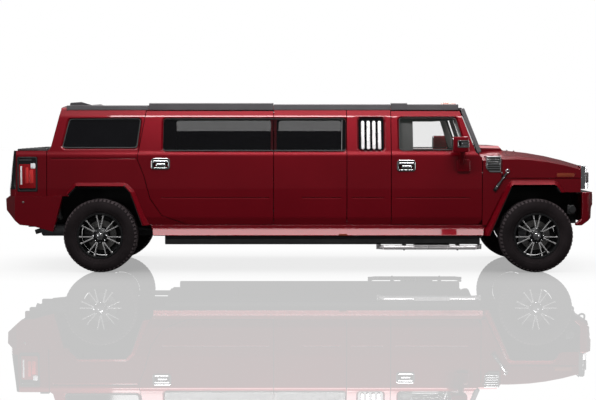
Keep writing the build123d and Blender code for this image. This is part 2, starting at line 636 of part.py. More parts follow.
front_door = door(FRONT_DOOR, [(FRONT_DOOR_END + CREASE_END, COWL - 147)])
front_door -= window_cut(FRONT_WINDOW, FRONT_WINDOW)
front_door -= handle_pocket(*FRONT_HANDLE)

rear_through = [
    (min(x, DOOR_REAR_START - WINDOW_LEDGE), z) for x, z in REAR_DOOR_WINDOW
]
rear_door = door(REAR_DOOR, [(REAR_AXLE + 723, DOOR_REAR_START - CREASE_END)])
rear_door -= window_cut(REAR_DOOR_WINDOW, rear_through)
rear_door -= handle_pocket(*REAR_HANDLE)

mid_through = [(max(x, DOOR_REAR_START + WINDOW_LEDGE), z) for x, z in MID_WINDOW]
mid_panel = panel(MID_PANEL, [(DOOR_REAR_START + 338, VENT_PANEL_END - 70)])
mid_panel -= window_cut(MID_WINDOW, mid_through)

vent_panel = panel(VENT_PANEL, [(VENT_PANEL_END + 60, FRONT_DOOR_END - 88)])
vent_panel -= window_cut(VENT_OPENING, VENT_OPENING)

for name, shape in (("right", mirror(front_door, about=Plane.XZ)), ("left", front_door)):
    save(f"door_front_{name}", shape)
for name, shape in (("right", mirror(rear_door, about=Plane.XZ)), ("left", rear_door)):
    save(f"door_rear_{name}", shape)
save("side_panels", *both(mid_panel), *both(vent_panel))

front_glass = window_glass(FRONT_WINDOW)
rear_glass = window_glass(REAR_DOOR_WINDOW) & shut_region(REAR_DOOR, -SEAM / 2)
for name, mirrored in (("left", 0), ("right", 1)):
    save(f"glass_front_{name}", both(front_glass)[mirrored])
    save(f"glass_rear_{name}", both(rear_glass)[mirrored])

# Chrome bars on the pane of the ventilation opening.
BAR_COUNT = 4
BAR_WIDTH = 40.0
BAR_PITCH = 66.0
BAR_DEPTH = 4.0                  # outer face below the body side
BAR_FOOT = 12.0                  # gap below and, wider, above each bar
BAR_HEAD = 40.0
BAR_RADIUS = 19.0
bars = []
vent_mid = (VENT_OPENING[0][0] + VENT_OPENING[1][0]) / 2
for index in range(BAR_COUNT):
    bar_mid = vent_mid + (index - (BAR_COUNT - 1) / 2) * BAR_PITCH
    low, high = WINDOW_BOTTOM + BAR_FOOT, WINDOW_TOP - BAR_HEAD
    half = BAR_WIDTH / 2
    outline = [(bar_mid - half, low), (bar_mid + half, low), (bar_mid + half, high), (bar_mid - half, high)]
    bar_face = window_face(outline, BAR_DEPTH, BAR_RADIUS)
    bars += both(extrude(bar_face, amount=GLASS_DEPTH - BAR_DEPTH - SEAT_GAP, dir=-WINDOW_NORMAL))
save("vent_bars", *bars)

# ---------------------------------------------------------------- quarter panels and deck sides
QUARTER = [
    (DECK_SEAM, FOOT_Z), (REAR_AXLE + 1060, FOOT_Z), (REAR_AXLE + 1060, GUTTER_Z), (CABIN_REAR_TOP, GUTTER_Z),
    (CABIN_REAR_BELT, 1465), (DECK_SEAM, 1440),
]
BUMPER_TOP = 905.0
DECK_Z = 1440.0
quarter = side_wall(DECK_SEAM - 10, REAR_AXLE + 1050) & shut_region(QUARTER, 0)
quarter -= shut_region(REAR_DOOR, SEAM / 2)
quarter -= block(DOOR_REAR_START - 900, REAR_AXLE + 1200, 500, 1100, 1000, 2000)
quarter += flare(REAR_FLARE_OUTER, REAR_FLARE_INNER, REAR_FLARE_RADII) & block(
    REAR_AXLE - 600, REAR_AXLE + 800, 800, 1100, FOOT_Z, 1200
)
quarter -= arch_cut(REAR_FLARE_INNER, REAR_FLARE_RADII)
quarter -= block(DECK_SEAM - 20, REAR_AXLE - 300, 500, 1100, 400, BUMPER_TOP)
quarter -= window_cut(QUARTER_WINDOW, QUARTER_WINDOW)
BELT_CREASE = 1356.0
quarter -= crease_cut(DECK_SEAM + 42, REAR_AXLE + 425, BELT_CREASE, SHOULDER_Y)

POST_FRONT = DECK_END + 46       # corner posts behind the tail lamps
DECK_SIDE = [
    (POST_FRONT, BUMPER_TOP), (DECK_SEAM - SEAM, BUMPER_TOP), (DECK_SEAM - SEAM, DECK_Z), (POST_FRONT, DECK_Z),
]
LAMP_OUTLINE = [
    (DECK_END + 62, 957), (DECK_END + 301, 957), (DECK_END + 301, 1370), (DECK_END + 62, 1370),
]
LAMP_DEPTH = 40.0
deck_side = side_wall(DECK_END - 30, DECK_SEAM - SEAM) & shut_region(DECK_SIDE, 0)
LAMP_CORNER = 12.0
lamp_pocket = slab(LAMP_OUTLINE, WAIST_Y - LAMP_DEPTH, WAIST_Y + 60, LAMP_CORNER)
deck_side -= lamp_pocket
LEDGE_TOP = DECK_Z - 6 - SEAT_GAP
deck_side += block(DECK_END + 82, DECK_SEAM - 30, 800, BELT_Y - 60, LEDGE_TOP - 20, LEDGE_TOP)
GATE_BACK = DECK_END - 46        # tailgate's outer face at its foot
GATE_FOOT = 985.0
POST_INNER = 845.0
POST_PLAN = [                    # left corner in plan, as (x, y) at the gate's foot
    (GATE_BACK, POST_INNER), (GATE_BACK, 880), (GATE_BACK + 20, 925), (GATE_BACK + 55, 952),
    (POST_FRONT - SEAT_GAP, 962), (POST_FRONT - SEAT_GAP, POST_INNER),
]
POST_LEAN = 46.0                 # its rear face leans forward with the tailgate
POST_TUCK = 34.0                 # and its side tucks in with the body side


def plan_face(points, z):
    """Closed outline of (x, y) points at one height."""
    return make_face(Polyline(*[(x, y, z) for x, y in points], close=True))


valance = extrude(plan_face(POST_PLAN, BUMPER_TOP), amount=GATE_FOOT - SEAT_GAP - BUMPER_TOP, dir=(0, 0, 1))
for piece in (mirror(valance, about=Plane.XZ), *both(deck_side)):
    valance += piece
valance += block(GATE_BACK, DECK_END + 14, -POST_INNER - 5, POST_INNER + 5, BUMPER_TOP, GATE_FOOT - SEAT_GAP)
for piece in both(block(DECK_END + 10, POST_FRONT + 60, 880, 920, BUMPER_TOP, GATE_FOOT - SEAT_GAP)):
    valance += piece
save("quarter_panels", *both(quarter), valance)

post_reach = POST_FRONT - SEAT_GAP - GATE_BACK
post_top = [
    (x + POST_LEAN * (POST_FRONT - SEAT_GAP - x) / post_reach, y - POST_TUCK * (y > POST_INNER)) for x, y in POST_PLAN
]
post = loft([plan_face(POST_PLAN, GATE_FOOT), plan_face(post_top, DECK_Z)], ruled=True)
save("corner_posts", *both(post))

lamp_body = slab(
    [(x + (1 if x < DECK_END + 100 else -1) * SEAT_GAP, z + (1 if z < 1200 else -1) * SEAT_GAP) for x, z in LAMP_OUTLINE],
    WAIST_Y - LAMP_DEPTH + SEAT_GAP, WAIST_Y + 4, LAMP_CORNER - SEAT_GAP,
)
save("tail_lamps", *both(lamp_body))

side_panes = both(window_glass(MID_WINDOW) & shut_region(MID_PANEL, -SEAM / 2))
for outline in (QUARTER_WINDOW, VENT_OPENING):
    side_panes += both(window_glass(outline))

# ---------------------------------------------------------------- sills, rock rails and step tubes
SILL_INNER = FOOT_Y - WALL
SEAL_TOP = 600.0                 # the doors close on the sill's upstand
SEAL_LEAN = (LOWER_Y - FOOT_Y) / (LOWER_Z - FOOT_Z)
SILL_TOP = FOOT_Z - SEAT_GAP
SILL_SECTION = [
    (FOOT_Y, SILL_TOP), (FOOT_Y + 22, 512), (FLARE_Y, 466), (FLARE_Y, 440), (900, 440), (SILL_INNER - 20, 470),
    (SILL_INNER - 20, SEAL_TOP), (SILL_INNER + (SEAL_TOP - FOOT_Z) * SEAL_LEAN - SEAT_GAP, SEAL_TOP),
    (SILL_INNER - SEAT_GAP, SILL_TOP),
]


def leg_x(outline, z, gap):
    """X of the slanted front or rear leg (first two points) of a flare at one height, moved by gap."""
    (x_low, z_low), (x_high, z_high) = outline
    return x_low + (x_high - x_low) * (z - z_low) / (z_high - z_low) + gap


sill_region = [
    (leg_x(REAR_FLARE_OUTER[:3:-1], 430, SEAT_GAP), 430), (leg_x(FRONT_FLARE_OUTER[:2], 430, -SEAT_GAP), 430),
    (leg_x(FRONT_FLARE_OUTER[:2], 620, -SEAT_GAP), 620), (leg_x(REAR_FLARE_OUTER[:3:-1], 620, SEAT_GAP), 620),
]
sill = bar_x(SILL_SECTION, REAR_AXLE + 300, FRONT_AXLE - 300) & slab(sill_region, 800, 1100)
save("sills", *both(sill))

ROCK_RAIL = [(1000, 436), (1000, 352), (984, 336), (905, 336), (880, 360), (880, 436)]
ROCK_RAIL_REAR = REAR_AXLE + 770
ROCK_RAIL_FRONT = FRONT_AXLE - 673
rock_rail = bar_x(ROCK_RAIL, ROCK_RAIL_REAR, ROCK_RAIL_FRONT)
for x in OUTRIGGERS:
    rock_rail += block(x + 5, x + 65, OUTRIGGER_END + SEAT_GAP, OUTRIGGER_END + 14, 370, RAIL_TOP - 20)
    rock_rail += block(x + 5, x + 65, OUTRIGGER_END + SEAT_GAP, 900, 370, 424)
save("rock_rails", *both(rock_rail))

STEP_RADIUS = 25.0
STEP_Z = 299.0
STEP_Y = 985.0
step_from, step_to = FRONT_DOOR_END - 147, COWL - 24
step = rod((step_from + 60, STEP_Y, STEP_Z), (step_to - 60, STEP_Y, STEP_Z), STEP_RADIUS)
for x_end, x_in in ((step_from, step_from + 60), (step_to, step_to - 60)):
    step += rod((x_in, STEP_Y, STEP_Z), (x_end, STEP_Y - 70, STEP_Z), STEP_RADIUS)
    step += rod((x_end, STEP_Y - 70, STEP_Z - STEP_RADIUS), (x_end, STEP_Y - 70, 336 - SEAT_GAP), STEP_RADIUS)
step += block(FRONT_DOOR_END + 266, FRONT_DOOR_END + 690, STEP_Y - 70, STEP_Y + 30, STEP_Z + 15, STEP_Z + 30)
save("step_tubes", *both(step))

# ---------------------------------------------------------------- roof, rails and windshield
ROOF_EDGE_Z = 1950.0
ROOF_CROWN = 1990.0
ROOF_SHELL = 45.0
ROOF_FRONT = PILLAR_HEAD - 20
edges = [
    Line((0, -GUTTER_Y, GUTTER_Z + SEAT_GAP), (0, -GUTTER_Y + 22, ROOF_EDGE_Z)),
    ThreePointArc((0, -GUTTER_Y + 22, ROOF_EDGE_Z), (0, 0, ROOF_CROWN), (0, GUTTER_Y - 22, ROOF_EDGE_Z)),
    Line((0, GUTTER_Y - 22, ROOF_EDGE_Z), (0, GUTTER_Y, GUTTER_Z + SEAT_GAP)),
    Line((0, GUTTER_Y, GUTTER_Z + SEAT_GAP), (0, GUTTER_Y - WALL, GUTTER_Z + SEAT_GAP)),
    ThreePointArc(
        (0, GUTTER_Y - WALL, GUTTER_Z + SEAT_GAP), (0, 0, ROOF_CROWN - ROOF_SHELL),
        (0, -GUTTER_Y + WALL, GUTTER_Z + SEAT_GAP),
    ),
    Line((0, -GUTTER_Y + WALL, GUTTER_Z + SEAT_GAP), (0, -GUTTER_Y, GUTTER_Z + SEAT_GAP)),
]
roof = extrude(make_face(edges), amount=ROOF_FRONT - CABIN_REAR_TOP, dir=(1, 0, 0)).moved(Location((CABIN_REAR_TOP, 0, 0)))
save("roof", roof)

# Roof rail covers on each side: rear end, front end, top height.
RAIL_COVERS = [
    (CABIN_REAR_TOP + 70, DOOR_REAR_EDGE - 30, 1979), (DOOR_REAR_EDGE - 24, DOOR_REAR_START - 3, 2006),
    (DOOR_REAR_START + 3, FRONT_DOOR_END - 3, 1992), (FRONT_DOOR_END + 3, FRONT_DOOR_END + 198, 2006),
    (FRONT_DOOR_END + 198, PILLAR_HEAD - 20, 1992),
]
RAIL_FOOT = GUTTER_Z + 6
covers = []
for x_from, x_to, top in RAIL_COVERS:
    section = [
        (GUTTER_Y + 4, RAIL_FOOT), (GUTTER_Y - 4, top - 8), (GUTTER_Y - 14, top), (GUTTER_Y - 60, top),
        (GUTTER_Y - 66, ROOF_EDGE_Z + 6), (GUTTER_Y - 20, ROOF_EDGE_Z + 1), (GUTTER_Y - 3, RAIL_FOOT),
    ]
    covers.append(bar_x(section, x_from, x_to))
HUMP = [                         # raised tail of the rearmost cover, as (x from the roof's rear edge, z)
    (107, ROOF_EDGE_Z + 10), (107, 1997), (118, 2010), (244, 2018), (274, 2008), (386, ROOF_EDGE_Z + 26), (386, ROOF_EDGE_Z + 10),
]
covers[0] += slab([(CABIN_REAR_TOP + x, z) for x, z in HUMP], GUTTER_Y - 60, GUTTER_Y - 12)
CAP_LENGTH = 108.0
covers.append(block(DECK_SEAM - SEAM - CAP_LENGTH, DECK_SEAM - SEAM - 5, 852, 922, DECK_Z + SEAT_GAP, DECK_Z + 21))
save("roof_rails", *[copy for cover in covers for copy in both(cover)])


def windshield_point(across, along, depth=0.0):
    """Point on the windshield's plane: Y, height Z and depth behind the outer face."""
    x = PILLAR_FOOT + WINDSHIELD_LEAD - (along - BELT_Z) * WINDSHIELD_LEAN
    return Vector(x, across, along) - WINDSHIELD_NORMAL * depth


WINDSHIELD_LEAD = 66.0           # outer face ahead of the door's sloping edge
WINDSHIELD_LEAN = (PILLAR_FOOT - PILLAR_HEAD) / (PILLAR_TOP_Z - BELT_Z)
WINDSHIELD_NORMAL = Vector(1, 0, WINDSHIELD_LEAN).normalized()
FRAME_OUTER = [(900, BELT_Z - 8), (762, 1948), (-762, 1948), (-900, BELT_Z - 8)]
FRAME_INNER = [(838, BELT_Z + 55), (722, 1872), (-722, 1872), (-838, BELT_Z + 55)]
FRAME_DEPTH = 46.0
GLASS_RADIUS = 50.0


def windshield_plate(outline, depth, thickness, radius):
    """Plate parallel to the windshield from an outline of (y, z) points."""
    points = [windshield_point(y, z, depth) for y, z in rounded(outline, radius)]
    return extrude(make_face(Polyline(*points, close=True)), amount=thickness, dir=-WINDSHIELD_NORMAL)


frame = windshield_plate(FRAME_OUTER, 0, FRAME_DEPTH, 12) - windshield_plate(FRAME_INNER, -1, FRAME_DEPTH + 2, GLASS_RADIUS)
header_low = windshield_point(0, GUTTER_Z + 2, FRAME_DEPTH)
frame += block(ROOF_FRONT + SEAT_GAP, header_low.X + 4, 22 - GUTTER_Y, GUTTER_Y - 22, GUTTER_Z + 6, ROOF_EDGE_Z)
frame -= block(0, ROOF_FRONT + SEAT_GAP, -1000, 1000, GUTTER_Z - 30, 2100)
save("windshield_frame", frame)
pane = [(y - math.copysign(SEAT_GAP, y), z + (SEAT_GAP if z < 1600 else -SEAT_GAP)) for y, z in FRAME_INNER]
save("windshield", windshield_plate(pane, 8, 6, GLASS_RADIUS))

# ---------------------------------------------------------------- rear wall of the cabin
REAR_WALL = 60.0
REAR_LEAN = (CABIN_REAR_TOP - CABIN_REAR_BELT) / (GUTTER_Z - 1465)
rear_outline = [
    (CABIN_REAR_BELT + SEAT_GAP, 1465), (CABIN_REAR_TOP + SEAT_GAP, GUTTER_Z), (CABIN_REAR_TOP + REAR_WALL, GUTTER_Z),
    (CABIN_REAR_BELT + REAR_WALL, 1465), (CABIN_REAR_BELT + REAR_WALL, FLOOR_TOP + SEAT_GAP),
    (CABIN_REAR_BELT + SEAT_GAP, FLOOR_TOP + SEAT_GAP),
]
inside_half = bar_x(
    [
        (0, FOOT_Z), (FOOT_Y - WALL - 2, FOOT_Z), (LOWER_Y - WALL - 2, LOWER_Z), (SHOULDER_Y - WALL - 2, SHOULDER_Z),
        (BELT_Y - WALL - 2, BELT_Z), (CANT_Y - WALL - 2, CANT_Z), (GUTTER_Y - WALL - 2, GUTTER_Z), (0, GUTTER_Z),
    ],
    CABIN_REAR_BELT - 10, CABIN_REAR_TOP + 200,
)
inside = both(inside_half)[0] + both(inside_half)[1]
rear_wall = slab(rear_outline, -950, 950) & inside
REAR_WINDOW_HALF = 600.0
rear_window = block(CABIN_REAR_BELT - 200, CABIN_REAR_TOP + 200, -REAR_WINDOW_HALF, REAR_WINDOW_HALF, 1500, 1830)
rear_wall -= rear_window
save("rear_wall", rear_wall)
pane_x = CABIN_REAR_BELT + 22 + (1500 - 1465) * REAR_LEAN
rear_pane = slab(
    [
        (pane_x, 1500 + SEAT_GAP), (pane_x + 330 * REAR_LEAN, 1830 - SEAT_GAP),
        (pane_x + 330 * REAR_LEAN + GLASS, 1830 - SEAT_GAP), (pane_x + GLASS, 1500 + SEAT_GAP),
    ],
    -REAR_WINDOW_HALF + SEAT_GAP, REAR_WINDOW_HALF - SEAT_GAP,
)
save("privacy_glass", *side_panes, rear_pane)

# ---------------------------------------------------------------- hood, fenders
HOOD_TOP = [(COWL - 8, 1437), (FRONT_AXLE + 60, 1388), (NOSE_FACE, 1269)]      # along the middle
HOOD_CREASE = [(COWL - 8, 1322), (FRONT_AXLE + 60, 1316), (NOSE_FACE, 1216)]   # along the sides
SLOPE_INSET = 300.0              # the sloping shoulder's width across
SLOPE_RISE = 62.0


BOW_RUNS = 6


def bowed(line):
    """Points of a parabola through three (x, z) points, in a few straight runs."""
    (x0, z0), (x1, z1), (x2, z2) = line
    points = []
    for run in range(BOW_RUNS + 1):
        x = x0 + (x2 - x0) * run / BOW_RUNS
        z = z0 * (x - x1) * (x - x2) / ((x0 - x1) * (x0 - x2))
        z += z1 * (x - x0) * (x - x2) / ((x1 - x0) * (x1 - x2))
        z += z2 * (x - x0) * (x - x1) / ((x2 - x0) * (x2 - x1))
        points.append((x, z))
    return points


def front_form(shrink):
    """Front body form from cowl to nose: a bowed top with sloping shoulders, moved inwards by shrink."""
    half = HOOD_Y - shrink
    tops = []
    for line, y in ((HOOD_TOP, -half), (HOOD_CREASE, half), (HOOD_CREASE, -half)):
        bow = [(x, z - shrink) for x, z in bowed(line)]
        tops.append(face_xz(bow + [(NOSE_FACE, 400), (COWL - 8, 400)], y))
    form = extrude(tops[0], amount=2 * half, dir=(0, 1, 0))
    reach = 2 * half / SLOPE_INSET
    left = extrude(tops[1], amount=math.hypot(2 * half, SLOPE_RISE * reach), dir=(0, -SLOPE_INSET, SLOPE_RISE))
    right = extrude(tops[2], amount=math.hypot(2 * half, SLOPE_RISE * reach), dir=(0, SLOPE_INSET, SLOPE_RISE))
    return form & left & right


outer_form = front_form(0.0)
inner_form = front_form(HOOD_SHELL)
shell = outer_form - inner_form
hood_region = block(HOOD_SEAM + SEAM / 2, NOSE_FACE - 2, -1000, 1000, HOOD_LINE + SEAM / 2, 1600)
tongue = block(COWL + 14, HOOD_SEAM + 50, -COWL_HALF + SEAM / 2, COWL_HALF - SEAM / 2, HOOD_LINE + SEAM / 2, 1600)
hood = shell & (hood_region + tongue)
scoop_outline = [(COWL + 16, 1420), (COWL + 10, 1498), (COWL + 258, 1492), (COWL + 318, 1415)]
scoop = slab(scoop_outline, -520, 520) - inner_form
scoop = chamfer(scoop.edges().filter_by(Axis.X, tolerance=8).sort_by(Axis.Z)[-2:], 30)
hood += scoop
CORNER_TOP = 1205.0              # below it the hood's rear edge leans forward, to clear the fixed side as it rises
CORNER_LEAN = 11.0
hood -= slab(
    [
        (HOOD_SEAM, CORNER_TOP), (HOOD_SEAM + SEAM / 2, CORNER_TOP), (HOOD_SEAM + SEAM / 2 + CORNER_LEAN, HOOD_LINE),
        (HOOD_SEAM, HOOD_LINE),
    ],
    -1000, 1000,
)
save("hood", hood)

fixed_region = block(COWL + SEAM / 2, HOOD_SEAM - SEAM / 2, -1000, 1000, 1000, 1600)
fixed_region -= block(COWL - 20, HOOD_SEAM + 20, -COWL_HALF - SEAM / 2, COWL_HALF + SEAM / 2, 900, 1700)
cowl_sides = shell & fixed_region
cowl_left = cowl_sides & block(COWL - 20, NOSE, 0, 1100, 0, 2000)
FENDER_SIDE = [
    (COWL + SEAM / 2, FOOT_Z), (COWL + SEAM / 2, 1200), (HOOD_SEAM - SEAM / 2, 1200), (HOOD_SEAM - SEAM / 2, HOOD_LINE - SEAM / 2),
    (NOSE_FACE - 2, HOOD_LINE - SEAM / 2), (NOSE_FACE - 2, FENDER_FLOOR), (FRONT_AXLE - 400, FENDER_FLOOR), (FRONT_AXLE - 590, FOOT_Z),
]
fender = slab(FENDER_SIDE, HOOD_Y - HOOD_SHELL, HOOD_Y)
fender += cowl_left
fender += block(HOOD_SEAM + 60, HOOD_SEAM + 120, HOOD_Y - HOOD_SHELL - 30, HOOD_Y - HOOD_SHELL + 6, HOOD_LINE - 60,
                HOOD_LINE + SEAM / 2 - SEAT_GAP)
fender += flare(FRONT_FLARE_OUTER, FRONT_FLARE_INNER, FRONT_FLARE_RADII) & block(
    COWL + SEAM / 2, NOSE_FACE - 2, 800, 1100, 440, HOOD_LINE - SEAM / 2
)
fender -= arch_cut(FRONT_FLARE_INNER, FRONT_FLARE_RADII)
fender -= block(FRONT_AXLE + 100, NOSE_FACE + 10, 800, 1100, 400, FENDER_FLOOR)
VENT_SIDE = [                    # raised vent on the fixed side of the cowl
    (COWL + 41, 1236), (COWL + 86, 1188), (COWL + 218, 1188), (COWL + 218, 1378), (COWL + 41, 1378),
]
VENT_BACK = HOOD_Y - 22
VENT_FACE = HOOD_Y + 10
VENT_SLOTS = 6
VENT_PITCH = 27.0
fairing = slab([(COWL + 41, 1290), (COWL + 218, 1290), (COWL + 218, 1372), (COWL + 41, 1372)], 740, VENT_BACK)
fender += fairing
vent_bed = [(x + math.copysign(SEAT_GAP, x - COWL - 90), z + math.copysign(SEAT_GAP, z - 1250)) for x, z in VENT_SIDE]
fender -= slab(vent_bed, VENT_BACK, VENT_FACE + 40)
cowl_vent = slab(VENT_SIDE, VENT_BACK + SEAT_GAP, VENT_FACE)
for index in range(VENT_SLOTS):
    slot_z = VENT_SIDE[1][1] + 26 + index * VENT_PITCH
    slot_from = COWL + (100 if index < 2 else 58)
    cowl_vent -= block(slot_from, COWL + 202, VENT_FACE - 18, VENT_FACE + 1, slot_z - 6, slot_z + 8)
save("cowl_vents", *both(cowl_vent))
save("front_fenders", *both(fender))

# ---------------------------------------------------------------- grille, lamps and bumpers
GRILLE_BOTTOM = 985.0
GRILLE_TOP = 1255.0
grille_side = [
    (GRILLE_BACK, GRILLE_BOTTOM), (GRILLE_BACK + 118, GRILLE_BOTTOM + 8), (GRILLE_BACK + 84, GRILLE_TOP),
    (GRILLE_BACK, GRILLE_TOP + 6),
]
GRILLE_HALF = 925.0
grille = slab(grille_side, -GRILLE_HALF, GRILLE_HALF)
corner = [(GRILLE_BACK + 30, 960), (GRILLE_BACK + 130, 960), (GRILLE_BACK + 130, 780)]
for side in (-1, 1):
    cutter = make_face(Polyline(*[(x, side * y, 900) for x, y in corner], close=True))
    grille -= extrude(cutter, amount=500, dir=(0, 0, 1))
SLOT_COUNT = 8
SLOT_PITCH = 122.0
for index in range(SLOT_COUNT):
    slot_y = (index - (SLOT_COUNT - 1) / 2) * SLOT_PITCH
    grille -= block(GRILLE_BACK + 14, GRILLE_BACK + 200, slot_y - 42, slot_y + 42, GRILLE_BOTTOM + 40, GRILLE_TOP - 36)
LAMP_Y = 725.0
LAMP_Z = 1122.0
LAMP_RADIUS = 96.0
headlamps = []
for piece in both(rod((GRILLE_BACK + 20, LAMP_Y, LAMP_Z), (GRILLE_BACK + 200, LAMP_Y, LAMP_Z), LAMP_RADIUS, HUB_SIDES)):
    grille -= piece
lamp_start, lamp_end = [(GRILLE_BACK + x, LAMP_Y, LAMP_Z) for x in (20 + SEAT_GAP, 84)]
for piece in both(rod(lamp_start, lamp_end, LAMP_RADIUS - SEAT_GAP, HUB_SIDES)):
    headlamps.append(piece)
save("grille", grille)
save("headlamps", *headlamps)

bumper_side = [
    (NOSE_FACE + 9, FENDER_FLOOR), (NOSE_FACE + 9, 640), (FRONT_AXLE + 430, 560), (FRONT_AXLE + 430, 512),
    (FRONT_AXLE + 472, 518), (FRONT_AXLE + 645, 645), (FRONT_AXLE + 652, 762), (FRONT_AXLE + 660, 785),
    (FRONT_AXLE + 676, 800), (FRONT_AXLE + 672, FENDER_FLOOR),
]
BUMPER_HALF = 1000.0
front_bumper = slab(bumper_side, -BUMPER_HALF, BUMPER_HALF)
front_bumper += slab([(NOSE_FACE + 9, 560), (NOSE_FACE + 9, FENDER_FLOOR), (NOSE, 930), (NOSE, 800), (NOSE - 30, 640)], -560, 560)
front_bumper -= block(NOSE_FACE - 100, BUMPER_INNER, -940, 940, 470, FENDER_FLOOR - 30)
EAR_FOOT = 560.0
CHIN_HALF = 480.0
CHIN_LOW = 480.0
EAR_REAR = FRONT_AXLE + 457.0     # clear of the steered tyres
for low, high in ((-BUMPER_HALF - 5, -CHIN_HALF), (CHIN_HALF, BUMPER_HALF + 5)):
    front_bumper -= block(NOSE_FACE - 200, NOSE, low, high, CHIN_LOW, EAR_FOOT)
    front_bumper -= block(NOSE_FACE - 200, EAR_REAR, low, high, EAR_FOOT - 5, EAR_FOOT + 60)
for side in (-1, 1):
    cutter = [(NOSE - 140, side * 1010), (NOSE + 20, side * 1010), (NOSE + 20, side * 760)]
    front_bumper -= extrude(make_face(Polyline(*[(x, y, 500) for x, y in cutter], close=True)), amount=500, dir=(0, 0, 1))
save("front_bumper", front_bumper)

rear_side = [
    (TAIL, 868), (TAIL + 8, 733), (TAIL + 198, 566), (TAIL + 352, 551), (TAIL + 587, 486), (REAR_AXLE - 440, BUMPER_TOP - SEAT_GAP),
    (TAIL + 60, BUMPER_TOP - SEAT_GAP),
]
rear_bumper = slab(rear_side, -BUMPER_HALF, BUMPER_HALF)
rear_bumper -= block(TAIL + 180, REAR_AXLE, -900, 900, 400, BUMPER_TOP + 40)
rear_bumper -= block(TAIL - 10, TAIL + 120, -330, 330, 760, 1000)
for side in (-1, 1):
    cutter = [(TAIL - 20, side * 1010), (TAIL + 150, side * 1010), (TAIL - 20, side * 800)]
    rear_bumper -= extrude(make_face(Polyline(*[(x, y, 400) for x, y in cutter], close=True)), amount=600, dir=(0, 0, 1))
RECEIVER_HALF = 38.0             # square tow receiver, outside half width
RECEIVER_BORE = 25.4             # inside half width
RECEIVER_Z = 640.0
RECEIVER_PIN = 8.0
receiver_from, receiver_to = TAIL + 40, TAIL + 178
receiver = block(receiver_from, receiver_to, -RECEIVER_HALF, RECEIVER_HALF, RECEIVER_Z - RECEIVER_HALF,
                 RECEIVER_Z + RECEIVER_HALF)
rear_bumper += receiver
rear_bumper -= block(receiver_from - 20, receiver_to + 30, -RECEIVER_BORE, RECEIVER_BORE, RECEIVER_Z - RECEIVER_BORE,
                     RECEIVER_Z + RECEIVER_BORE)
pin_x = receiver_from + 45
rear_bumper -= pin((pin_x, -RECEIVER_HALF - 1, RECEIVER_Z), (pin_x, RECEIVER_HALF + 1, RECEIVER_Z), RECEIVER_PIN)
save("rear_bumper", rear_bumper)

# ---------------------------------------------------------------- deck lid and tailgate
LID_THICKNESS = 28.0
LID_HALF = 836.0
lid = block(DECK_END + 40, CABIN_REAR_BELT - SEAM, -LID_HALF, LID_HALF, DECK_Z - 6, DECK_Z - 6 + LID_THICKNESS)
save("deck_lid", lid)
GATE_THICKNESS = 60.0
gate = [
    (GATE_BACK, GATE_FOOT), (GATE_BACK + 46, DECK_Z - 14), (GATE_BACK + 46 + GATE_THICKNESS, DECK_Z - 14),
    (GATE_BACK + GATE_THICKNESS, GATE_FOOT),
]
GATE_HALF = 836.0
tailgate = slab(gate, -GATE_HALF, GATE_HALF)
save("tailgate", tailgate)

# ---------------------------------------------------------------- marker lamps
MARKER_COUNT = 5
MARKER_PITCH = 260.0
ROOF_ARC = ((GUTTER_Y - 22) ** 2 + (ROOF_CROWN - ROOF_EDGE_Z) ** 2) / (2 * (ROOF_CROWN - ROOF_EDGE_Z))
markers = []
for index in range(MARKER_COUNT):
    y = (index - (MARKER_COUNT - 1) / 2) * MARKER_PITCH
    highest = max(abs(y) - 45, 0)
    base = ROOF_CROWN - ROOF_ARC + math.sqrt(ROOF_ARC ** 2 - highest ** 2)
    markers.append(block(PILLAR_HEAD - 112, PILLAR_HEAD - 22, y - 45, y + 45, base + SEAT_GAP, base + 36))
sill_marker = block(VENT_PANEL_END - 95, VENT_PANEL_END, FLARE_Y + SEAT_GAP, FLARE_Y + 6, 444, 462)
save("marker_lamps", *markers, *both(sill_marker))

# ---------------------------------------------------------------- mirrors
MIRROR_REACH = 1180.0
head = slab([(COWL - 372, 1427), (COWL - 183, 1427), (COWL - 190, 1608), (COWL - 372, 1608)], 985, MIRROR_REACH, 28)
neck = rod((COWL - 250, LOWER_Y - 5, 1290), (COWL - 250, 1060, 1440), 28)
foot = slab([(COWL - 301, 1196), (COWL - 148, 1196), (COWL - 148, 1336), (COWL - 301, 1336)], WAIST_Y + SEAT_GAP, WAIST_Y + 26, 18)
mirror_piece = head + neck + foot
mirror_piece -= front_door
left_mirror, right_mirror = both(mirror_piece)
save("mirror_left", left_mirror)
save("mirror_right", right_mirror)

# ---------------------------------------------------------------- cabin
DASH_BACK = COWL - 50.0
dash_side = [(DASH_BACK - 210, 1100), (DASH_BACK - 230, 1310), (DASH_BACK - 60, 1360), (DASH_BACK, 1360), (DASH_BACK, 900), (DASH_BACK - 120, 900)]
dashboard = slab(dash_side, -800, 800)
dashboard += block(DASH_BACK - 900, DASH_BACK - 60, -140, 140, FLOOR_TOP + SEAT_GAP, 920)
DRIVER_Y = 430.0
STEER_CENTRE = Vector(DASH_BACK - 360, DRIVER_Y, 1158)
STEER_AXIS = Vector(-0.964, 0, 0.265).normalized()
HUB_FOOT = 27.0                  # steering wheel's hub reaches this far ahead of its centre
STUB_RADIUS = 14.0               # its shaft turns in the column
column_start = STEER_CENTRE - STEER_AXIS * (HUB_FOOT + RUNNING_GAP)
column_end = STEER_CENTRE - STEER_AXIS * 220
dashboard += rod(tuple(column_start), tuple(column_end), 34)
dashboard -= pin(tuple(column_start), tuple(STEER_CENTRE - STEER_AXIS * 60), STUB_RADIUS + RUNNING_GAP)
save("dashboard", dashboard)
wheel_plane = Plane(origin=STEER_CENTRE, z_dir=STEER_AXIS)
rim_section = [(-16, 185), (-8, 171), (8, 171), (16, 185), (8, 199), (-8, 199)]
steering = wheel_plane * Rot(90, 0, 0) * ring(rim_section, TUBE_SIDES * 2)
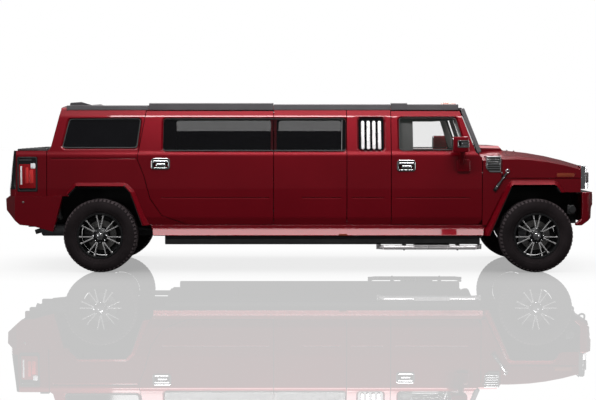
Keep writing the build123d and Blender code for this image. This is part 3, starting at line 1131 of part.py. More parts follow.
steering += wheel_plane * Pos(0, 0, -HUB_FOOT) * extrude(RegularPolygon(52, HUB_SIDES), amount=34)
steering += pin(tuple(STEER_CENTRE), tuple(STEER_CENTRE - STEER_AXIS * 58), STUB_RADIUS)
for angle in (0, 120, 240):
    steering += wheel_plane * Rot(0, 0, angle + 90) * Pos(105, 0, 0) * Box(150, 34, 14)
save("steering_wheel", steering)


def front_seat(y):
    """Bucket seat in one piece: pedestal, cushion, leaning back, two posts and head rest."""
    x = FRONT_DOOR_END + 330
    seat = chamfer(block(x - 60, x + 520, y - 250, y + 250, 800, 940).edges().filter_by(Axis.Y), 30)
    seat += block(x - 20, x + 460, y - 200, y + 200, FLOOR_TOP + SEAT_GAP, 830)
    seat += slab([(x - 150, 830), (x - 10, 830), (x - 110, 1560), (x - 220, 1560)], y - 240, y + 240, 40)
    for post_y in (y - 60, y + 60):
        seat += rod((x - 170, post_y, 1540), (x - 172, post_y, 1620), 8)
    return seat + slab([(x - 218, 1590), (x - 118, 1590), (x - 128, 1740), (x - 228, 1740)], y - 130, y + 130, 35)


save("front_seats", front_seat(DRIVER_Y), front_seat(-DRIVER_Y))

PARTITION_X = FRONT_DOOR_END + 60
partition_half = bar_x(
    [
        (0, FLOOR_TOP + SEAT_GAP), (LOWER_Y - WALL - 14, FLOOR_TOP + SEAT_GAP), (SHOULDER_Y - WALL - 4, SHOULDER_Z),
        (BELT_Y - WALL - 4, BELT_Z), (CANT_Y - WALL - 4, CANT_Z), (GUTTER_Y - WALL - 8, GUTTER_Z - 6), (0, GUTTER_Z + 14),
    ],
    PARTITION_X - 40, PARTITION_X,
)
partition = both(partition_half)[0] + both(partition_half)[1]
partition -= block(PARTITION_X - 60, PARTITION_X + 20, -420, 420, 1250, 1700)
save("partition", partition)

BENCH_FLOOR = FLOOR_TOP + SEAT_GAP
BENCH_TOP = 1010.0
bench_from = REAR_AXLE + 640
bench_to = PARTITION_X - 60
side_bench = block(bench_from + 560, bench_to - 700, 330, 820, BENCH_FLOOR, BENCH_TOP)
side_bench += block(bench_from + 560, bench_to - 700, 700, 820, BENCH_TOP, 1400)
rear_bench = block(CABIN_REAR_BELT + 80, REAR_AXLE + 30, -620, 620, BENCH_FLOOR, BENCH_TOP)
rear_bench += block(CABIN_REAR_BELT + 80, CABIN_REAR_BELT + 200, -620, 620, BENCH_TOP, 1440)
save("salon_benches", side_bench, rear_bench)
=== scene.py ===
"""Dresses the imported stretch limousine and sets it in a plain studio. All sizes are in metres."""
import json
import logging
import math
from collections.abc import Callable
from dataclasses import dataclass
from enum import Enum

import bmesh
import bpy
from mathutils import Matrix, Vector, geometry

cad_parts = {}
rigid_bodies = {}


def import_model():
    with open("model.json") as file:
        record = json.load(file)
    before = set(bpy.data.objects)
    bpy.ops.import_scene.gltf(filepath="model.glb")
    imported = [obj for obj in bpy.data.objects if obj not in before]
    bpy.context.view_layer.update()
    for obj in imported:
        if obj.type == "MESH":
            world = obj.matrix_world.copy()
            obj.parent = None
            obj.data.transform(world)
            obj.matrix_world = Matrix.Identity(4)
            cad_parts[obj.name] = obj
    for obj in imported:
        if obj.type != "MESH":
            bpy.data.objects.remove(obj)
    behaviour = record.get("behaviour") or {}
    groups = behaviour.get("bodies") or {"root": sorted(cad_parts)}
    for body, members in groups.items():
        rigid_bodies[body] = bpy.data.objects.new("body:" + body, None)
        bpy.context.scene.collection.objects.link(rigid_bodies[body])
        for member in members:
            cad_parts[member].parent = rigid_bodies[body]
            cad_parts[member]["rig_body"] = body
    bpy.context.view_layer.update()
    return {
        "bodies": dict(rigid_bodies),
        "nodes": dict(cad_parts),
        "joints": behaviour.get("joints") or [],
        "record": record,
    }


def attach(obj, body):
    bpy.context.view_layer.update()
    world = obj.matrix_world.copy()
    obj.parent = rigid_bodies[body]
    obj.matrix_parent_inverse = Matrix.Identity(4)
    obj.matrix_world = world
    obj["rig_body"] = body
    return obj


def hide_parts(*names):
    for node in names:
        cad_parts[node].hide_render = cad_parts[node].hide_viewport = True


log = logging.getLogger("limousine")

Colour = tuple[float, float, float]
Point = tuple[float, float, float]
Flat = tuple[float, float]
Nodes, Links, Socket, Shader = bpy.types.Nodes, bpy.types.NodeLinks, bpy.types.NodeSocket, bpy.types.Node

SIDES = ((-1, "right"), (1, "left"))
AHEAD, OUT, UP = Vector((1, 0, 0)), Vector((0, 1, 0)), Vector((0, 0, 1))
FRONT_AXLE, REAR_AXLE = 2.780, -2.380
HUB_HEIGHT = 0.436
WHEEL_MIDDLE = 0.870
LAMP_LEVEL = 1.122
GRILLE_BACK = 3.308
SMOOTH_ANGLE = math.radians(32)
FLAT_ANGLE = math.radians(0.4)
WELD = 2e-5
SAME_SPOT = 1e-4
EDGE_REACH = 0.002
BEND_REACH = 0.016
WIDE_ROUND = 0.018
FLAKE_SCALE = 1800.0
MILLIMETRE = 0.001


# ---------------------------------------------------------------- finishes
class Grain(Enum):
    """What breaks up a surface close to."""

    PEEL = "slow ripple of a clear coat"
    PEBBLE = "fine moulded grain"
    HIDE = "leather cells"
    BRUSHED = "long fine scratches"
    CAST = "rough casting"
    PILE = "carpet pile"
    CALM = "almost flat"


def added(nodes: Nodes, kind: str, values: dict[str, float | tuple]) -> Shader:
    """New shader node of a kind, with the values of its inputs."""
    made = nodes.new("ShaderNode" + kind)
    for name, value in values.items():
        made.inputs[name].default_value = value
    return made


def ranged_node(nodes: Nodes, low: float, high: float, first: float, last: float) -> Shader:
    """Node that carries the values from low to high over to those from first to last."""
    return added(nodes, "MapRange", {"From Min": low, "From Max": high, "To Min": first, "To Max": last})


@dataclass(frozen=True)
class Finish:
    """One finish, made as a procedural material on object coordinates.

    bump is the height of the grain in millimetres, wander the change of roughness from place to place,
    and dust the share by which patches are lighter or darker.
    """

    name: str
    slot: str
    colour: Colour
    roughness: float = 0.5
    metallic: float = 0.0
    grain: Grain = Grain.PEBBLE
    scale: float = 900.0
    bump: float = 0.02
    wander: float = 0.06
    dust: float = 0.10
    patch: float = 5.0
    coat: float = 0.0
    coat_roughness: float = 0.03
    specular: float = 0.5
    alpha: float = 1.0
    flake: float = 0.0

    def material(self) -> bpy.types.Material:
        """The finish's material, made once.

        Returns:
            The material with this finish's name.
        """
        made = bpy.data.materials.get(self.name)
        if made:
            return made
        made = bpy.data.materials.new(self.name)
        made.use_nodes = True
        nodes, links = made.node_tree.nodes, made.node_tree.links
        shader = nodes["Principled BSDF"]
        for name, value in (
            ("Metallic", self.metallic), ("Coat Weight", self.coat), ("Coat Roughness", self.coat_roughness),
            ("Specular IOR Level", self.specular), ("Alpha", self.alpha),
        ):
            shader.inputs[name].default_value = value
        place = nodes.new("ShaderNodeTexCoord").outputs["Object"]
        patches = self._noise(nodes, links, place, self.patch, 3.0)
        links.new(
            self._spread(nodes, links, patches, self.roughness, self.wander), shader.inputs["Roughness"],
        )
        links.new(self._tinted(nodes, links, place, patches), shader.inputs["Base Color"])
        links.new(self._bumped(nodes, links, place), shader.inputs["Normal"])
        return made

    def _noise(self, nodes: Nodes, links: Links, place: Socket, scale: float, detail: float) -> Socket:
        """Noise factor at a scale per metre."""
        noise = added(nodes, "TexNoise", {"Scale": scale, "Detail": detail})
        links.new(place, noise.inputs["Vector"])
        return noise.outputs["Fac"]

    def _spread(self, nodes: Nodes, links: Links, factor: Socket, middle: float, spread: float) -> Socket:
        """Factor spread about a middle value, kept between 0 and 1."""
        ranged = ranged_node(nodes, 0.3, 0.7, max(middle - spread, 0.0), min(middle + spread, 1.0))
        links.new(factor, ranged.inputs["Value"])
        return ranged.outputs["Result"]

    def _tinted(self, nodes: Nodes, links: Links, place: Socket, patches: Socket) -> Socket:
        """Base colour: the finish's own, darker and lighter in patches, with flake where it has some."""
        mix = nodes.new("ShaderNodeMix")
        mix.data_type = "RGBA"
        mix.inputs["A"].default_value = (*[channel * (1 - self.dust) for channel in self.colour], 1.0)
        mix.inputs["B"].default_value = (
            *[min(channel * (1 + self.dust), 1.0) for channel in self.colour], 1.0,
        )
        links.new(self._spread(nodes, links, patches, 0.5, 0.5), mix.inputs["Factor"])
        if not self.flake:
            return mix.outputs["Result"]
        cells = added(nodes, "TexVoronoi", {"Scale": FLAKE_SCALE})
        links.new(place, cells.inputs["Vector"])
        sparkle = nodes.new("ShaderNodeMix")
        sparkle.data_type = "RGBA"
        sparkle.blend_type = "OVERLAY"
        sparkle.inputs["Factor"].default_value = self.flake
        links.new(mix.outputs["Result"], sparkle.inputs["A"])
        links.new(cells.outputs["Color"], sparkle.inputs["B"])
        return sparkle.outputs["Result"]

    def _bumped(self, nodes: Nodes, links: Links, place: Socket) -> Socket:
        """Normal with the finish's grain."""
        if self.grain is Grain.BRUSHED:
            turn = added(nodes, "Mapping", {"Scale": (0.02, 1.0, 1.0)})
            links.new(place, turn.inputs["Vector"])
            place = turn.outputs["Vector"]
        if self.grain is Grain.HIDE:
            cells = added(nodes, "TexVoronoi", {"Scale": self.scale})
            cells.feature = "SMOOTH_F1"
            links.new(place, cells.inputs["Vector"])
            height = cells.outputs["Distance"]
        else:
            detail = {Grain.PEEL: 1.0, Grain.CALM: 1.0, Grain.CAST: 6.0, Grain.PILE: 5.0}.get(self.grain, 3.0)
            height = self._noise(nodes, links, place, self.scale, detail)
        bump = added(nodes, "Bump", {"Strength": 1.0, "Distance": self.bump * MILLIMETRE})
        links.new(height, bump.inputs["Height"])
        return bump.outputs["Normal"]


def pane_finish(
    name: str, slot: str, colour: Colour, roughness: float, alpha: float, bump: float = 0.002,
    dust: float = 0.02, wander: float = 0.01,
) -> Finish:
    """Finish for a sheet of glass."""
    return Finish(name, slot, colour, roughness, 0.0, Grain.CALM, 3.0, bump, wander, dust, alpha=alpha)


def lens_finish(
    name: str, slot: str, colour: Colour, roughness: float, coat: float, metallic: float = 0.0,
    scale: float = 60.0, bump: float = 0.01,
) -> Finish:
    """Finish for a lamp's lens."""
    return Finish(name, slot, colour, roughness, metallic, Grain.CALM, scale, bump, coat=coat)


class Finishes:
    """Every finish on the vehicle, named for what it covers."""

    paint = Finish(
        "burgundy_metallic", "body_paint", (0.158, 0.0006, 0.006), 0.36, 0.35, Grain.PEEL, 140.0, 0.004, 0.03,
        0.05, 1.3, coat=0.9, coat_roughness=0.05, specular=0.1, flake=0.05,
    )
    roof_cover = Finish(
        "charcoal_cover", "roof_grey", (0.050, 0.045, 0.050), 0.5, grain=Grain.PEBBLE, scale=700.0, bump=0.05,
    )
    trim = Finish("grained_trim", "black_trim", (0.012, 0.012, 0.013), 0.48, scale=800.0, bump=0.05)
    gloss_black = Finish(
        "gloss_black", "black_trim", (0.008, 0.008, 0.009), 0.12, grain=Grain.CALM, scale=30.0, bump=0.002,
    )
    # Black pile of the wheel-well liners, floor tub, grille mesh and intakes; the cowl vent's slots and the
    # brake discs' drillings use it as painted shade.
    shadow = Finish(
        "well_liner_and_painted_shade", "black_trim", (0.010, 0.010, 0.010), 0.85, grain=Grain.PILE, scale=500.0, bump=0.3,
    )
    seal = Finish("window_rubber", "black_trim", (0.014, 0.014, 0.014), 0.65, scale=500.0, bump=0.02)
    chrome = Finish(
        "bright_chrome", "chrome_trim", (0.80, 0.80, 0.82), 0.07, 1.0, Grain.CALM, 25.0, 0.003, 0.03, 0.02,
    )
    lamp_bowl = Finish(
        "lamp_bowl", "chrome_trim", (0.60, 0.59, 0.60), 0.12, 1.0, Grain.CALM, 40.0, 0.003, 0.03, 0.02,
    )
    polished = Finish(
        "polished_tube", "chrome_trim", (0.84, 0.81, 0.82), 0.26, 0.45, Grain.BRUSHED, 900.0, 0.01, 0.05,
        0.05,
    )
    clear = pane_finish("clear_pane", "clear_glass", (0.10, 0.12, 0.11), 0.02, 0.06, bump=0.001)
    screen = pane_finish("windshield_glass", "clear_glass", (0.05, 0.06, 0.06), 0.02, 0.24, bump=0.001)
    privacy = pane_finish("privacy_glass", "dark_glass", (0.006, 0.006, 0.007), 0.03, 0.43, dust=0.05)
    dark_pane = pane_finish(
        "dark_pane", "dark_glass", (0.004, 0.004, 0.005), 0.05, 0.94, dust=0.1, wander=0.02,
    )
    tread = Finish(
        "tyre_tread", "tyre_rubber", (0.0165, 0.0130, 0.0140), 0.80, scale=600.0, bump=0.08, wander=0.08,
        dust=0.25, specular=0.05,
    )
    # Painted light: the tread blocks are the carcass's rubber made about four times lighter, so that they
    # read as lit against the darker grooves.
    lug_painted_light = Finish(
        "tyre_lug_painted_light", "tyre_rubber", (0.064, 0.052, 0.055), 0.85, scale=600.0, bump=0.1, wander=0.08, dust=0.3,
        specular=0.05,
    )
    spoke = Finish(
        "satin_spoke", "rim_black", (0.66, 0.65, 0.65), 0.26, 0.6, Grain.BRUSHED, 1200.0, 0.006, 0.05, 0.05,
    )
    barrel = Finish("black_barrel", "rim_black", (0.013, 0.013, 0.014), 0.30, 0.2, Grain.PEBBLE, 400.0, 0.01)
    steel = Finish(
        "painted_steel", "chassis_steel", (0.028, 0.028, 0.030), 0.55, 0.2, Grain.CAST, 260.0, 0.08, 0.1, 0.2,
    )
    disc = Finish("brake_disc", "chassis_steel", (0.42, 0.41, 0.40), 0.32, 1.0, Grain.BRUSHED, 1500.0, 0.01)
    iron = Finish(
        "cast_iron", "engine_iron", (0.10, 0.10, 0.105), 0.6, 0.5, Grain.CAST, 220.0, 0.25, 0.1, 0.2,
    )
    dash = Finish("grained_dash", "dash_plastic", (0.030, 0.029, 0.028), 0.6, scale=1100.0, bump=0.06)
    roof_lining = Finish(
        "roof_lining", "roof_grey", (0.30, 0.29, 0.28), 0.9, grain=Grain.PILE, scale=800.0, bump=0.3,
    )
    glow_red = lens_finish("bright_red_lens", "lamp_red", (0.52, 0.03, 0.03), 0.15, 0.6)
    leather = Finish(
        "grey_leather", "seat_leather", (0.045, 0.042, 0.040), 0.46, grain=Grain.HIDE, scale=420.0, bump=0.18,
    )
    dark_leather = Finish(
        "black_leather", "seat_leather", (0.020, 0.019, 0.019), 0.42, grain=Grain.HIDE, scale=420.0,
        bump=0.18,
    )
    carpet = Finish(
        "floor_carpet", "dash_plastic", (0.030, 0.029, 0.030), 0.95, grain=Grain.PILE, scale=900.0, bump=0.8,
    )
    red_lens = lens_finish("red_lens", "lamp_red", (0.22, 0.003, 0.006), 0.08, 0.6)
    smoke_lens = lens_finish("smoke_lens", "lamp_clear", (0.11, 0.10, 0.10), 0.07, 0.8)
    clear_lens = lens_finish("clear_lens", "lamp_clear", (0.85, 0.86, 0.88), 0.05, 0.8, metallic=0.1)
    amber_lens = lens_finish(
        "amber_lens", "lamp_amber", (0.20, 0.035, 0.015), 0.15, 0.5, scale=80.0, bump=0.02,
    )
    pale_lens = lens_finish("pale_lens", "lamp_amber", (0.72, 0.42, 0.36), 0.18, 0.5, scale=80.0, bump=0.02)
    mirror = Finish(
        "mirror_glass", "chrome_trim", (0.82, 0.84, 0.86), 0.02, 1.0, Grain.CALM, 5.0, 0.0005, 0.005, 0.01,
    )


# ---------------------------------------------------------------- mesh tools
BODY_SIDE = (  # height and half width of the body side, from the sill up to the gutter
    (0.562, 0.938), (0.652, 0.962), (1.000, 0.968), (1.385, 0.948), (1.430, 0.930), (1.848, 0.812),
    (1.919, 0.775),
)


def skin(height: float) -> float:
    """Half width of the body side at a height."""
    for (low, near), (high, far) in zip(BODY_SIDE, BODY_SIDE[1:]):
        if height <= high:
            break
    return near + (far - near) * (height - low) / (high - low)


def soft_box(centre: Flat, width: float, height: float, radius: float, steps: int = 5) -> list[Flat]:
    """Outline of a rectangle with round corners.

    Args:
        centre: its middle.
        width: its first size.
        height: its second size.
        radius: radius of its corners.
        steps: runs in each corner.

    Returns:
        Its points, counter-clockwise.
    """
    corners = ((1, 1, 0), (-1, 1, 90), (-1, -1, 180), (1, -1, 270))
    points = []
    for across, up, start in corners:
        middle = (centre[0] + across * (width / 2 - radius), centre[1] + up * (height / 2 - radius))
        for step in range(steps + 1):
            angle = math.radians(start + 90 * step / steps)
            points.append((middle[0] + radius * math.cos(angle), middle[1] + radius * math.sin(angle)))
    return points


def shrunk(outline: list[Flat], inset: float, keep: float | None = None) -> list[Flat]:
    """Outline drawn in towards its middle along both directions.

    Args:
        outline: its points.
        inset: how far its sides move in.
        keep: first coordinate of an edge that stays where it is, or None.

    Returns:
        The smaller outline, with as many points.
    """
    mid = [sum(point[k] for point in outline) / len(outline) for k in (0, 1)]
    half = [max(abs(point[k] - mid[k]) for point in outline) for k in (0, 1)]
    points = []
    for u, v in outline:
        new = (mid[0] + (u - mid[0]) * (1 - inset / half[0]), mid[1] + (v - mid[1]) * (1 - inset / half[1]))
        points.append((u, new[1]) if keep is not None and abs(u - keep) < SAME_SPOT else new)
    return points


def ribbon(line: list[tuple[Vector, float]], across: Vector) -> list[Flat]:
    """Outline round a straight line of points, each with its own half width, along one direction."""
    return [tuple(p + across * half) for p, half in line] + [
        tuple(p - across * half) for p, half in line[::-1]
    ]


def plane_matrix(axis: str) -> Matrix:
    """Turn that carries a flat outline's (u, v, depth) to the vehicle's axes.

    Args:
        axis: the axis that the outline faces along. "x" reads (u, v) as (y, z), "y" as (x, z), "z" as (x, y).

    Returns:
        A 4 by 4 matrix.
    """
    columns = {
        "x": ((0, 1, 0), (0, 0, 1), (1, 0, 0)),
        "y": ((1, 0, 0), (0, 0, 1), (0, 1, 0)),
        "z": ((1, 0, 0), (0, 1, 0), (0, 0, 1)),
    }[axis]
    return Matrix(columns).transposed().to_4x4()


class Form:
    """A mesh in the making. Each method adds one closed form to it, in the vehicle's frame."""

    def __init__(self) -> None:
        self.mesh = bmesh.new()

    def _take(self, part: bmesh.types.BMesh, matrix: Matrix | None = None) -> "Form":
        """Adds a finished part, turned and placed.

        Args:
            part: the bmesh to add, which is freed.
            matrix: its place, or None where it is already in place.

        Returns:
            This form.
        """
        if matrix is not None:
            bmesh.ops.transform(part, matrix=matrix, verts=part.verts)
        bmesh.ops.recalc_face_normals(part, faces=part.faces)
        carrier = bpy.data.meshes.new("carrier")
        part.to_mesh(carrier)
        part.free()
        self.mesh.from_mesh(carrier)
        bpy.data.meshes.remove(carrier)
        return self

    def block(self, low: Point, high: Point, soft: float = 0.0, runs: int = 2) -> "Form":
        """Adds a box between two corners, its edges rounded by soft."""
        part = bmesh.new()
        bmesh.ops.create_cube(part, size=1.0)
        size = [max(abs(h - l), 1e-5) for l, h in zip(low, high)]
        middle = [(h + l) / 2 for l, h in zip(low, high)]
        bmesh.ops.transform(
            part, matrix=Matrix.LocRotScale(Vector(middle), None, Vector(size)), verts=part.verts,
        )
        if soft:
            bmesh.ops.bevel(
                part, geom=part.edges[:], offset=soft, segments=runs, profile=0.5, affect="EDGES",
                material=-1,
            )
        return self._take(part)

    def plate(
        self, outline: list[Flat], axis: str, start: float, end: float, corner: float = 0.0,
        soft: float = 0.0,
    ) -> "Form":
        """Adds a plate: a flat outline, its corners rounded, extruded along an axis with softened edges.

        Args:
            outline: its points, as plane_matrix reads them.
            axis: the axis it is extruded along.
            start: where it begins along the axis.
            end: where it ends.
            corner: radius of its corners.
            soft: width of the bevel on its edges.

        Returns:
            This form.
        """
        part = bmesh.new()
        corners = [part.verts.new((u, v, start)) for u, v in outline]
        face = part.faces.new(corners)
        if corner:
            bmesh.ops.bevel(
                part, geom=corners, offset=corner, segments=5, profile=0.5, affect="VERTICES", material=-1,
            )
            face = part.faces[:][0]
        return self._extruded(part, [face], axis, end - start, soft)

    def pad(
        self, centre: Flat, width: float, height: float, radius: float, axis: str, start: float, end: float,
        soft: float = 0.0,
    ) -> "Form":
        """Adds a plate with a rounded rectangle's outline.

        Args:
            centre: the outline's middle, as plane_matrix reads it.
            width: its first size.
            height: its second size.
            radius: radius of its corners.
            axis: the axis it is extruded along.
            start: where it begins along the axis.
            end: where it ends.
            soft: width of the bevel on its edges.

        Returns:
            This form.
        """
        return self.plate(soft_box(centre, width, height, radius), axis, start, end, soft=soft)

    def lathe(self, profile: list[Flat], centre: Point, axis: Vector, steps: int = 48) -> "Form":
        """Adds a profile turned about an axis.

        Args:
            profile: its closed line of (along, radius) points.
            centre: the point that along is measured from.
            axis: the axis it is turned about.
            steps: runs round it.

        Returns:
            This form.
        """
        part = bmesh.new()
        points = [part.verts.new((radius, 0, along)) for along, radius in profile]
        edges = [part.edges.new(pair) for pair in zip(points, points[1:] + points[:1])]
        bmesh.ops.spin(
            part, geom=points + edges, cent=(0, 0, 0), axis=(0, 0, 1), angle=2 * math.pi, steps=steps,
            use_merge=True,
        )
        bmesh.ops.remove_doubles(part, verts=part.verts, dist=WELD)
        bmesh.ops.dissolve_degenerate(part, edges=part.edges, dist=WELD)
        turn = UP.rotation_difference(axis.normalized()).to_matrix().to_4x4()
        return self._take(part, Matrix.Translation(centre) @ turn)

    def disc(
        self, centre: Point, axis: Vector, radius: float, depth: float, soft: float = 0.0, steps: int = 32,
    ) -> "Form":
        """Adds a round plate from a centre along an axis."""
        edge = min(soft, depth / 2, radius / 2)
        profile = [
            (0, 0), (0, radius - edge), (edge, radius), (depth - edge, radius), (depth, radius - edge),
            (depth, 0),
        ]
        if not edge:
            profile = [(0, 0), (0, radius), (depth, radius), (depth, 0)]
        return self.lathe(profile, centre, axis, steps)

    def tube(self, points: list[Point], radius: float, sides: int = 12, bend: float = 0.0) -> "Form":
        """Adds a round tube along points.

        Args:
            points: its route.
            radius: radius of its section.
            sides: runs round its section.
            bend: how far from each inner point its bend starts, or 0 for sharp corners.

        Returns:
            This form.
        """
        curve = bpy.data.curves.new("route", "CURVE")
        curve.dimensions = "3D"
        spline = curve.splines.new("POLY")
        route = _bent(points, bend) if bend else [Vector(p) for p in points]
        spline.points.add(len(route) - 1)
        for knot, point in zip(spline.points, route):
            knot.co = (*point, 1.0)
        curve.bevel_depth = radius
        curve.bevel_resolution = max(1, sides // 4 - 1)
        curve.use_fill_caps = True
        holder = bpy.data.objects.new("route", curve)
        mesh = bpy.data.meshes.new_from_object(holder)
        part = bmesh.new()
        part.from_mesh(mesh)
        bmesh.ops.remove_doubles(part, verts=part.verts, dist=WELD)
        bpy.data.objects.remove(holder)
        bpy.data.curves.remove(curve)
        bpy.data.meshes.remove(mesh)
        return self._take(part)

    def band(
        self, outer: list[Flat], inner: list[Flat], axis: str, start: float, end: float, soft: float = 0.0,
    ) -> "Form":
        """Adds a closed frame between two outlines.

        Args:
            outer: the frame's outer outline, as plane_matrix reads it.
            inner: its inner outline, with as many points.
            axis: the axis it is extruded along.
            start: where it begins along the axis.
            end: where it ends.
            soft: width of the bevel on its edges.

        Returns:
            This form.
        """
        part = bmesh.new()
        rings = [[part.verts.new((u, v, start)) for u, v in line] for line in (outer, inner)]
        count = len(outer)
        for here in range(count):
            ahead = (here + 1) % count
            part.faces.new((rings[0][here], rings[0][ahead], rings[1][ahead], rings[1][here]))
        return self._extruded(part, part.faces[:], axis, end - start, soft)

    def rim(
        self, centre: Flat, outer: Point, inner: Point, axis: str, start: float, end: float,
        soft: float = 0.0,
    ) -> "Form":
        """Adds a band between two rounded rectangles, each given by its width, height and corner radius."""
        return self.band(soft_box(centre, *outer), soft_box(centre, *inner), axis, start, end, soft)

    def _extruded(
        self, part: bmesh.types.BMesh, faces: list[bmesh.types.BMFace], axis: str, depth: float, soft: float,
    ) -> "Form":
        """Adds flat faces extruded by a depth, with softened edges, turned to an axis."""
        moved = bmesh.ops.extrude_face_region(part, geom=faces)["geom"]
        shift = Vector((0, 0, depth))
        bmesh.ops.translate(part, vec=shift, verts=[v for v in moved if isinstance(v, bmesh.types.BMVert)])
        bmesh.ops.recalc_face_normals(part, faces=part.faces)
        if soft:
            sharp = [e for e in part.edges if e.calc_face_angle(0.0) > SMOOTH_ANGLE]
            bmesh.ops.bevel(
                part, geom=sharp, offset=soft, segments=2, profile=0.5, affect="EDGES", material=-1,
            )
        return self._take(part, plane_matrix(axis))

    def moved(self, matrix: Matrix) -> "Form":
        """Turns and moves everything so far."""
        bmesh.ops.transform(self.mesh, matrix=matrix, verts=self.mesh.verts)
        bmesh.ops.recalc_face_normals(self.mesh, faces=self.mesh.faces)
        return self

    def mirrored(self) -> "Form":
        """Adds the copy of everything so far on the vehicle's other side."""
        part = self.mesh.copy()
        return self._take(part, Matrix.Scale(-1, 4, OUT))

    def sided(self, side: int) -> "Form":
        """Keeps a form made on the left there, or moves it to the right."""
        return self.moved(Matrix.Scale(-1, 4, OUT)) if side < 0 else self

    def draped(self, side: int) -> "Form":
        """Lays a form whose Y is its height above the body side on one side of the vehicle."""
        for vertex in self.mesh.verts:
            vertex.co.y = side * (skin(vertex.co.z) + vertex.co.y)
        bmesh.ops.recalc_face_normals(self.mesh, faces=self.mesh.faces)
        return self

    def around(self, count: int) -> "Form":
        """Repeats everything so far evenly about the Y axis."""
        bmesh.ops.spin(
            self.mesh, geom=self.mesh.verts[:] + self.mesh.edges[:] + self.mesh.faces[:], cent=(0, 0, 0),
            axis=OUT, angle=2 * math.pi * (count - 1) / count, steps=count - 1, use_duplicate=True,
        )
        return self

    def piece(self, name: str, finish: Finish, body: str, replaces: tuple[str, ...] = ()) -> bpy.types.Object:
        """Makes the form a piece that rides on a body.

        Args:
            name: the piece's name.
            finish: what it is finished in.
            body: the CAD body that it moves with.
            replaces: the CAD nodes that it stands for.

        Returns:
            The piece.
        """
        mesh = bpy.data.meshes.new(name)
        for edge in self.mesh.edges:
            edge.smooth = edge.calc_face_angle(math.pi) < SMOOTH_ANGLE
        for face in self.mesh.faces:
            face.smooth = True
        self.mesh.to_mesh(mesh)
        self.mesh.free()
        made = bpy.data.objects.new(name, mesh)
        bpy.context.scene.collection.objects.link(made)
        return dress(made, finish, body, replaces)


def _bent(points: list[Point], bend: float) -> list[Vector]:
    """Route with each inner corner rounded in a few steps."""
    route = [Vector(points[0])]
    for before, corner, after in zip(points, points[1:], points[2:]):
        here = Vector(corner)
        start = here + (Vector(before) - here).normalized() * bend
        end = here + (Vector(after) - here).normalized() * bend
        for step in range(6):
            share = step / 5
            route.append(start.lerp(here, share).lerp(here.lerp(end, share), share))
    return route + [Vector(points[-1])]


def dress(
    made: bpy.types.Object, finish: Finish, body: str, replaces: tuple[str, ...] = (),
) -> bpy.types.Object:
    """Gives an object its finish and its body, and logs it."""
    made.data.materials.clear()
    made.data.materials.append(finish.material())
    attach(made, body)
    if replaces:
        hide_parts(*replaces)
    log.info("%s rides on %s", made.name, body)
    return made


def dressed_copy(
    frame: dict, node: str, name: str, finish: Finish, soft: float = 0.0025, runs: int = 2,
    inner: Finish | None = None, is_inner: Callable[[Vector, Vector], bool] | None = None,
    bends: tuple[float, ...] = (), profile: tuple[tuple[Flat, Flat], ...] = (),
    is_round: Callable[[Vector, Vector], bool] | None = None,
) -> bpy.types.Object:
    """Stands a merged, softened copy of a CAD node in its place.

    Args:
        frame: the loaded frame.
        node: the CAD node.
        name: the copy's name.
        finish: its finish.
        soft: width of the bevel on its edges.
        runs: segments in the bevel.
        inner: a second finish, for the faces that are its inside.
        is_inner: tells from a face's middle and its normal whether it is inside.
        bends: heights at which its skin turns, so that the turn stays a narrow soft band.
        profile: half width and height of each lengthwise edge that moves, and where to; the second is cut in.
        is_round: tells from an edge's two ends whether it gets a wide round.

    Returns:
        The copy.
    """
    source = frame["nodes"][node]
    mesh = bmesh.new()
    mesh.from_mesh(source.data)
    bmesh.ops.remove_doubles(mesh, verts=mesh.verts, dist=WELD)
    if profile:
        everything = mesh.verts[:] + mesh.edges[:] + mesh.faces[:]
        cut = (0, 0, profile[1][0][1])
        bmesh.ops.bisect_plane(mesh, geom=everything, dist=1e-5, plane_co=cut, plane_no=(0, 0, 1))
        for vertex in mesh.verts:
            for (half, height), (new_half, new_height) in profile:
                if math.hypot(abs(vertex.co.y) - half, vertex.co.z - height) < EDGE_REACH:
                    vertex.co.y, vertex.co.z = math.copysign(new_half, vertex.co.y), new_height
                    break
    bmesh.ops.dissolve_limit(mesh, angle_limit=FLAT_ANGLE, verts=mesh.verts, edges=mesh.edges)
    if is_round:
        sharp = [edge for edge in mesh.edges if edge.calc_face_angle(0.0) > SMOOTH_ANGLE]
        wide = [edge for edge in sharp if is_round(edge.verts[0].co, edge.verts[1].co)]
        bmesh.ops.bevel(
            mesh, geom=wide, offset=WIDE_ROUND, segments=4, profile=0.5, affect="EDGES", material=-1,
            clamp_overlap=False,
        )
    for level in [bend + step for bend in bends for step in (-BEND_REACH, BEND_REACH)]:
        everything = mesh.verts[:] + mesh.edges[:] + mesh.faces[:]
        bmesh.ops.bisect_plane(mesh, geom=everything, dist=1e-5, plane_co=(0, 0, level), plane_no=(0, 0, 1))
    form = Form()
    form.mesh.free()
    form.mesh = mesh
    inside = [face.index for face in mesh.faces if inner and is_inner(face.calc_center_median(), face.normal)]
    made = form.piece(name, finish, source["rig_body"], (node,))
    if inner:
        made.data.materials.append(inner.material())
        for index in inside:
            made.data.polygons[index].material_index = 1
    if soft:
        bevel = made.modifiers.new("edges", "BEVEL")
        bevel.width = soft
        bevel.segments = runs
        bevel.limit_method = "ANGLE"
        bevel.angle_limit = SMOOTH_ANGLE
        bevel.harden_normals = True
        bevel.use_clamp_overlap = True
        weighted = made.modifiers.new("shading", "WEIGHTED_NORMAL")
        weighted.weight = 100
        weighted.keep_sharp = True
    return made


